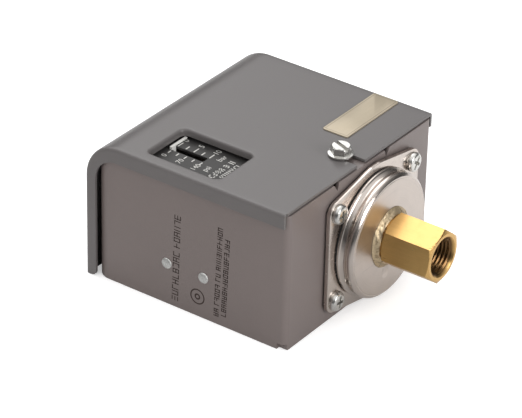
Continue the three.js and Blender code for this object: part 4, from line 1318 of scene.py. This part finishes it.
def scale_print_shells():
    """Two rows of ticks beside the pointer's slot, their figures, and blank bars for captions."""
    top = box("scale_plate")[1][2] + 0.012
    start = box("scale_plate")[0][0] + 6.0
    pitch = 3.3
    ticks = start + pitch * np.arange(5)
    slot_edge = middle("range_screw")[1]
    far, near = slot_edge + 1.8, slot_edge - 2.0
    thick = 0.012
    shells = []
    for index, x in enumerate(ticks):
        length = 3.0 if index % 2 == 0 else 2.2
        shells.append(block((x - 0.22, far, top - thick), (x + 0.22, far + length, top + thick)))
        shells.append(block((x - 0.22, near - 1.7, top - thick), (x + 0.22, near, top + thick)))
    for index, (bar, psi) in zip((0, 2, 4), (("0", "0"), ("5", "70"), ("10", "140"))):
        shells.append(figure_shell(bar, 2.3, (ticks[index], far + 4.8), top))
        shells.append(figure_shell(psi, 2.1, (ticks[index], near - 3.8), top))
    shells.append(figure_shell("bar", 2.2, (ticks[-1] + 3.6, far + 2.4), top))
    shells.append(figure_shell("psi", 2.2, (ticks[-1] + 3.6, near - 2.4), top))
    shells += scale_caption(4.7, (-33.5, -18.7), 2.3, top, 1)
    shells += scale_caption(7.9, (-31.5, -20.6), 2.3, top, 2)
    return shells


def caption_strokes(lay, length, height, pen, seed):
    """Broken strokes in cells along a line, standing for a caption.

    lay(a0, a1, b0, b1) makes one stroke from a0 to a1 along the line and b0 to b1 across it. Each
    cell takes at chance some of two uprights and three levels.
    """
    chance = np.random.default_rng(seed)
    wide = height * 0.62
    shells = []
    along = 0.0
    while along + wide < length:
        uprights = [at for at in (0, wide - pen) if chance.uniform() < 0.8]
        levels = [at for at in (0, (height - pen) / 2, height - pen) if chance.uniform() < 0.55]
        shells += [lay(along + at, along + at + pen, 0, height) for at in uprights]
        shells += [lay(along, along + wide, at, at + pen) for at in levels]
        along += wide + height * (0.2 if chance.uniform() < 0.84 else 0.65)
    return shells


def scale_caption(x, ends, height, top, seed):
    """A caption on the scale plate: it runs along +Y with its letters' tops towards -X."""
    low, high = top - 0.012, top + 0.012

    def lay(a0, a1, b0, b1):
        return block((x - b1, ends[0] + a0, low), (x - b0, ends[0] + a1, high))

    return caption_strokes(lay, ends[1] - ends[0], height, height * 0.19, seed)


def ink_column(x, bottom, top, height, lean, seed):
    """A stamped column on the near wall: it runs upwards, leaning, with tops towards -X."""
    wall = box("chassis")[0][1]

    def lay(a0, a1, b0, b1):
        shift = x + lean * (a0 + a1) / 2
        return block((shift - b1, wall - 0.015, bottom + a0), (shift - b0, wall + 0.01, bottom + a1))

    return caption_strokes(lay, top - bottom, height, 0.36, seed)


def ink_shells():
    """Stamped marks on the near wall: three leaning columns of broken strokes, and a ring."""
    shells = ink_column(-2.9, 2.5, 37.0, 2.7, 0.03, 5)
    shells += ink_column(14.2, 3.0, 38.5, 2.1, 0.04, 6)
    shells += ink_column(17.3, 4.0, 37.0, 2.1, 0.04, 8)
    wall = box("chassis")[0][1]
    outer, inner = wall - 0.015, wall + 0.01
    for small, large in ((2.5, 3.0), (0.6, 1.2)):
        ring = [(small, inner), (small, outer), (large, outer), (large, inner), (small, inner)]
        shells.append(lathe(ring, FAR, (5.3, 7.7), 64))
    return shells


# ---------------------------------------------------------------- operators


class SWITCH_OT_cover(bpy.types.Operator):
    """Bends the cover from sheet, lets in its window and slot, and paints shade on its inner side"""

    bl_idname = "pressure_switch.cover"
    bl_label = "Cover"

    def execute(self, context):
        cover = piece("cover_sheet", cover_shells(), enamel("enamel"), "cover")
        # The inner side gets a dark colour: painted shade for the inside of the cover.
        thicken(cover, SHEET, enamel("inside_enamel"))
        soften(cover, sizes("sheet_edge"))
        refined("cover_insulator", moulded("fibre", 0.7), 0.06)
        return {"FINISHED"}


class SWITCH_OT_nameplate(bpy.types.Operator):
    """Lays the blank nameplate on the cover"""

    bl_idname = "pressure_switch.nameplate"
    bl_label = "Nameplate"

    def execute(self, context):
        piece("nameplate_foil", [slab("nameplate", 0.9)], nameplate_foil(), "nameplate")
        return {"FINISHED"}


class SWITCH_OT_case(bpy.types.Operator):
    """Finishes the chassis, the spring frame inside it and the gasket on its end wall"""

    bl_idname = "pressure_switch.case"
    bl_label = "Case"

    def execute(self, context):
        refined("chassis", enamel("case_enamel"), 0.22)
        refined("spring_frame", plated("zinc", 0.34, 0.3), 0.2)
        refined("flange_gasket", moulded("rubber", 0.75), 0.08)
        for node in ("side_rivet_1", "side_rivet_2"):
            piece(node + "_head", [rivet_shell(node)], plated("rivet", 0.5, 0.05), node)
        return {"FINISHED"}


class SWITCH_OT_scale(bpy.types.Operator):
    """Paints the scale plate and prints its ticks, and finishes the pointer"""

    bl_idname = "pressure_switch.scale"
    bl_label = "Scale and pointer"

    def execute(self, context):
        refined("scale_plate", scale_black(), 0.12)
        white = printed("scale_white", (0.62, 0.61, 0.58))
        body = BODY_OF["scale_plate"]
        piece("scale_print", scale_print_shells(), white, None, body, SLOT_OF["scale_plate"])
        refined("pointer", printed("pointer_white", (0.78, 0.77, 0.74)), 0.12)
        return {"FINISHED"}


class SWITCH_OT_side_ink(bpy.types.Operator):
    """Stamps the marks on the near wall"""

    bl_idname = "pressure_switch.side_ink"
    bl_label = "Side ink"

    def execute(self, context):
        ink = printed("stamping_ink", tuple(settings().ink))
        piece("side_ink", ink_shells(), ink, None, BODY_OF["chassis"], SLOT_OF["chassis"])
        return {"FINISHED"}


class SWITCH_OT_fasteners(bpy.types.Operator):
    """Drives the screws: the cover's, the ear plate's, the scale's, the switch's and the ground's"""

    bl_idname = "pressure_switch.fasteners"
    bl_label = "Fasteners"

    def execute(self, context):
        bright = plated("zinc", 0.2, 0.22)
        shell = hexagon_screw("cover_screw", 2.6, 6.35, 4.4, 0.9, 2.0, 1.1)
        piece("cover_screw_head", [shell], bright, "cover_screw", angle=28)
        for index in range(1, 5):
            node = f"flange_screw_{index}"
            recess = cross_recess(0.42, 1.75, 1.3, 0.4, 2.9, 0.5 + 0.9 * index)
            piece(node + "_head", [pan_screw(node, recess)], bright, node)
        for group, height, shank in (("scale", 1.9, 0.6), ("switch", 1.9, 0.5), ("terminal", 2.0, 0.6)):
            for index in (1, 2):
                node = f"{group}_screw_{index}"
                recess = slot_recess(0.35, 9.0, 0.8, 0.6 * index)
                piece(node + "_head", [pan_screw(node, recess, height, shank)], bright, node)
        refined("ground_screw", plated("ground", 0.4, 0.2), 0.15)
        return {"FINISHED"}


class SWITCH_OT_pressure_end(bpy.types.Operator):
    """Turns the ear plate, the drawn cap, the diaphragm and what pushes on the lever"""

    bl_idname = "pressure_switch.pressure_end"
    bl_label = "Pressure end"

    def execute(self, context):
        dull = plated("nickel", 0.18, 0.3)
        piece("ear_plate", [ear_plate_shell()], dull, "flange_plate")
        piece("drawn_cap", [pressure_cap_shell()], drawn_nickel(), "pressure_cap", angle=50)
        refined("diaphragm", moulded("rubber", 0.6), 0.1)
        refined("follower_disc", plated("zinc", 0.3, 0.2), 0.2)
        refined("push_rod", plated("steel", 0.3, 0.2), 0.2)
        return {"FINISHED"}


class SWITCH_OT_fitting(bpy.types.Operator):
    """Turns the brass fitting and runs the braze round its neck"""

    bl_idname = "pressure_switch.fitting"
    bl_label = "Fitting and braze"

    def execute(self, context):
        piece("brass_fitting", [fitting_shell()], turned_brass(), "pipe_fitting", angle=25)
        piece("braze", [braze_shell()], rough_braze(), "braze_ring", angle=60)
        return {"FINISHED"}


class SWITCH_OT_range(bpy.types.Operator):
    """Makes the range screw with its clip, the travelling nut and the range spring"""

    bl_idname = "pressure_switch.range"
    bl_label = "Range adjuster"

    def execute(self, context):
        zinc = plated("zinc", 0.3, 0.3)
        shaft = threaded_rod_shell("range_screw", 5.0, 3.5, 3.1, 1.27, 2.2)
        piece("range_screw_turned", [shaft], zinc, "range_screw", angle=50)
        refined("range_clip", plated("steel", 0.3, 0.2), 0.08)
        refined("range_nut", plated("brass", 0.3, 0.3), 0.25)
        low, high = box("range_spring")
        wire = 1.1
        shell = coil(middle("range_spring")[1:], (low[0], high[0]), (high[1] - low[1]) / 2 - wire, wire, 7)
        spring = piece("range_spring_wire", [shell], spring_wire(), "range_spring", body="chassis", angle=60)
        squash_to(spring, "range_nut_travel", high[0])
        return {"FINISHED"}


class SWITCH_OT_differential(bpy.types.Operator):
    """Makes the differential's bracket, toothed wheel, seat and spring"""

    bl_idname = "pressure_switch.differential"
    bl_label = "Differential adjuster"

    def execute(self, context):
        refined("diff_bracket", plated("zinc", 0.34, 0.3), 0.2)
        piece("toothed_wheel", [thumbwheel_shell()], plated("brass", 0.3, 0.3), "diff_wheel", angle=30)
        refined("diff_seat", plated("zinc", 0.3, 0.2), 0.2)
        low, high = box("diff_spring")
        wire = 0.7
        shell = coil(middle("diff_spring")[1:], (low[0], high[0]), (high[1] - low[1]) / 2 - wire, wire, 8)
        spring = piece("diff_spring_wire", [shell], spring_wire(), "diff_spring", body="chassis", angle=60)
        squash_to(spring, "diff_seat_travel", high[0])
        return {"FINISHED"}


def squash_to(spring, joint, held_end):
    """Gives a spring its own mesh and works out the share of it kept as its seat travels towards the end that the
    lever holds; nothing shortens the spring.
    """
    travel = next(item for item in frame["joints"] if item["name"] == joint)["range_m"][1] / MM
    start = min(corner[0] for corner in spring.bound_box) / MM
    keep = (held_end - start - travel) / (held_end - start)
    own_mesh(spring)


class SWITCH_OT_lever(bpy.types.Operator):
    """Finishes the lever, its bracket, pin and clip, and the trip screw in it"""

    bl_idname = "pressure_switch.lever"
    bl_label = "Lever"

    def execute(self, context):
        zinc = plated("zinc", 0.32, 0.3)
        steel = plated("steel", 0.28, 0.2)
        for node in ("lever", "lever_bracket", "spring_seat", "trip_locknut"):
            refined(node, zinc, 0.2)
        for node in ("pivot_pin", "pivot_clip", "trip_screw"):
            refined(node, steel, 0.1)
        return {"FINISHED"}


class SWITCH_OT_snap_switch(bpy.types.Operator):
    """Finishes the snap switch: bracket, moulded base and lid, plunger, contacts and clamps"""

    bl_idname = "pressure_switch.snap_switch"
    bl_label = "Snap switch"

    def execute(self, context):
        refined("switch_bracket", plated("zinc", 0.34, 0.3), 0.15)
        for node in ("switch_base", "switch_lid"):
            refined(node, moulded("phenolic", 0.38), 0.2)
        refined("switch_plunger", moulded("nylon", 0.4), 0.15)
        brass = plated("brass", 0.26, 0.3)
        refined("contact_bridge", brass, 0.08)
        for index in (1, 2):
            refined(f"fixed_contact_{index}", brass, 0.1)
            refined(f"terminal_clamp_{index}", plated("zinc", 0.28, 0.2), 0.1)
        return {"FINISHED"}


# ---------------------------------------------------------------- the stage

VIEW_BACK = Vector((0.4956, -0.6989, 0.5156)).normalized()  # from the part towards the camera
VIEW_ROLL = math.radians(1.33)
VIEW_TARGET = Vector((2.226, -1.996, 21.905))
VIEW_DISTANCE = 1078.54
VIEW_LENS = 216.1


def aim_camera(scene):
    """A long lens, looking down at the near long side and the ear-plate end."""
    right = Vector((-VIEW_BACK.y, VIEW_BACK.x, 0)).normalized()
    up = VIEW_BACK.cross(right)
    rolled_right = right * math.cos(VIEW_ROLL) + up * math.sin(VIEW_ROLL)
    rolled_up = up * math.cos(VIEW_ROLL) - right * math.sin(VIEW_ROLL)
    camera_data = bpy.data.cameras.new("camera")
    camera_data.lens = VIEW_LENS
    camera_data.sensor_width = 36
    camera_data.clip_end = 50
    camera_data.dof.use_dof = False
    camera = bpy.data.objects.new("camera", camera_data)
    scene.collection.objects.link(camera)
    at = (VIEW_TARGET + VIEW_BACK * VIEW_DISTANCE) * MM
    axes = Matrix([rolled_right, rolled_up, VIEW_BACK]).transposed().to_4x4()
    camera.matrix_world = Matrix.Translation(at) @ axes
    scene.camera = camera


def softbox(scene, name, at, target, size, power, mirrored=True):
    """A square area lamp that faces a point; places in metres. An unmirrored one isn't seen in metal."""
    data = bpy.data.lights.new(name, "AREA")
    data.energy = power
    data.size = size
    lamp = bpy.data.objects.new(name, data)
    scene.collection.objects.link(lamp)
    lamp.location = at
    lamp.visible_glossy = mirrored
    lamp.rotation_euler = (Vector(target) - Vector(at)).to_track_quat("-Z", "Y").to_euler()


def room_light(scene):
    """A pale room that looks darker low down when metal mirrors it, so that metal shows its form."""
    world = bpy.data.worlds.new("room")
    scene.world = world
    world.use_nodes = True
    room = Nodes(world.node_tree)
    where = world.node_tree.nodes.new("ShaderNodeTexCoord").outputs["Generated"]
    _x, _y, height = room.node("ShaderNodeSeparateXYZ", None, {0: where})
    _camera, _shadow, _diffuse, in_metal = room.node("ShaderNodeLightPath")[:4]
    soft = [(0.0, 0.55), (0.4, 0.6), (1.0, 0.75)]
    mirrored = [(0.0, 0.05), (0.35, 0.1), (0.6, 0.4), (0.8, 1.0)]
    grey = [[(position, (light,) * 3) for position, light in stops] for stops in (soft, mirrored)]
    ramps = [room.node("ShaderNodeValToRGB", {"stops": stops}, {0: height})[0] for stops in grey]
    values = {0: in_metal, 6: ramps[0], 7: ramps[1]}
    light = room.node("ShaderNodeMix", {"data_type": "RGBA"}, values)[0]
    room.feed(world.node_tree.nodes["Background"].inputs["Color"], light)


def floor_sheet(scene):
    """A wide pale floor under the case: it glows a little when seen straight, and metal sees it darker."""
    half = 6.0
    gap = 0.0001
    mesh = bpy.data.meshes.new("floor")
    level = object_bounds()[0].z - gap
    corners = [(-half, -half, level), (half, -half, level), (half, half, level), (-half, half, level)]
    mesh.from_pydata(corners, [], [(0, 1, 2, 3)])
    floor = bpy.data.objects.new("floor", mesh)
    scene.collection.objects.link(floor)
    paper = Finish("floor_paper")
    grain = paper.noise(0.02, 2, seed=1.0)
    direct, _shadow, _diffuse, mirrored = paper.node("ShaderNodeLightPath")[:4]
    _x, y, _z = paper.axes()
    behind = y.between(-160.0, 60.0)
    seen = 1 - mirrored * (0.82 - behind * 0.8)
    white = paper.tinted((0.93, 0.93, 0.93), (0.99 + grain * 0.02) * seen)
    glow = paper.tinted((1.0, 1.0, 1.0), direct * 0.42)
    floor_finish = paper.surface(
        white, 0.9, Specular_IOR_Level=0.0, Emission_Color=glow, Emission_Strength=1.0
    )
    mesh.materials.append(floor_finish)
    floor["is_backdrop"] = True


class SWITCH_OT_stage(bpy.types.Operator):
    """Sets the floor, the room, the softboxes and the camera"""

    bl_idname = "pressure_switch.stage"
    bl_label = "Stage"

    def execute(self, context):
        scene = context.scene
        scene.view_settings.view_transform = "Standard"
        floor_sheet(scene)
        room_light(scene)
        softbox(scene, "key", (-0.9, 0.5, 1.3), (0, 0, 0), 1.7, 14)
        softbox(scene, "near_fill", (0.1, -1.6, 0.7), (0, 0, 0), 0.9, 6, mirrored=False)
        softbox(scene, "end_fill", (1.7, -0.1, 0.7), (0, 0, 0), 0.8, 14)
        aim_camera(scene)
        return {"FINISHED"}


OPERATORS = (
    SWITCH_OT_case,
    SWITCH_OT_cover,
    SWITCH_OT_nameplate,
    SWITCH_OT_scale,
    SWITCH_OT_side_ink,
    SWITCH_OT_fasteners,
    SWITCH_OT_pressure_end,
    SWITCH_OT_fitting,
    SWITCH_OT_range,
    SWITCH_OT_differential,
    SWITCH_OT_lever,
    SWITCH_OT_snap_switch,
    SWITCH_OT_stage,
)


class SWITCH_PT_pieces(bpy.types.Panel):
    """Lists the pieces and the sizes and colours that shape them."""

    bl_label = "Pressure Switch"
    bl_idname = "SWITCH_PT_pieces"
    bl_space_type = "VIEW_3D"
    bl_region_type = "UI"
    bl_category = "Pressure Switch"

    def draw(self, context):
        column = self.layout.column()
        for operator in OPERATORS:
            column.operator(operator.bl_idname)
        for group in (context.scene.switch_sizes, context.scene.switch_colours):
            for name in group.bl_rna.properties.keys():
                if name not in ("rna_type", "name"):
                    column.prop(group, name)


CLASSES = (SwitchSizes, SwitchColours) + OPERATORS + (SWITCH_PT_pieces,)


def register():
    """Adds the classes and the two groups of settings."""
    for item in CLASSES:
        bpy.utils.register_class(item)
    bpy.types.Scene.switch_sizes = PointerProperty(type=SwitchSizes)
    bpy.types.Scene.switch_colours = PointerProperty(type=SwitchColours)


def unregister():
    """Takes them away again."""
    del bpy.types.Scene.switch_colours
    del bpy.types.Scene.switch_sizes
    for item in reversed(CLASSES):
        bpy.utils.unregister_class(item)


def main():
    """Builds every piece and the stage."""
    register()
    for operator in OPERATORS:
        group, name = operator.bl_idname.split(".")
        getattr(getattr(bpy.ops, group), name)()
    bpy.context.view_layer.update()


if __name__ == "__main__":
    main()
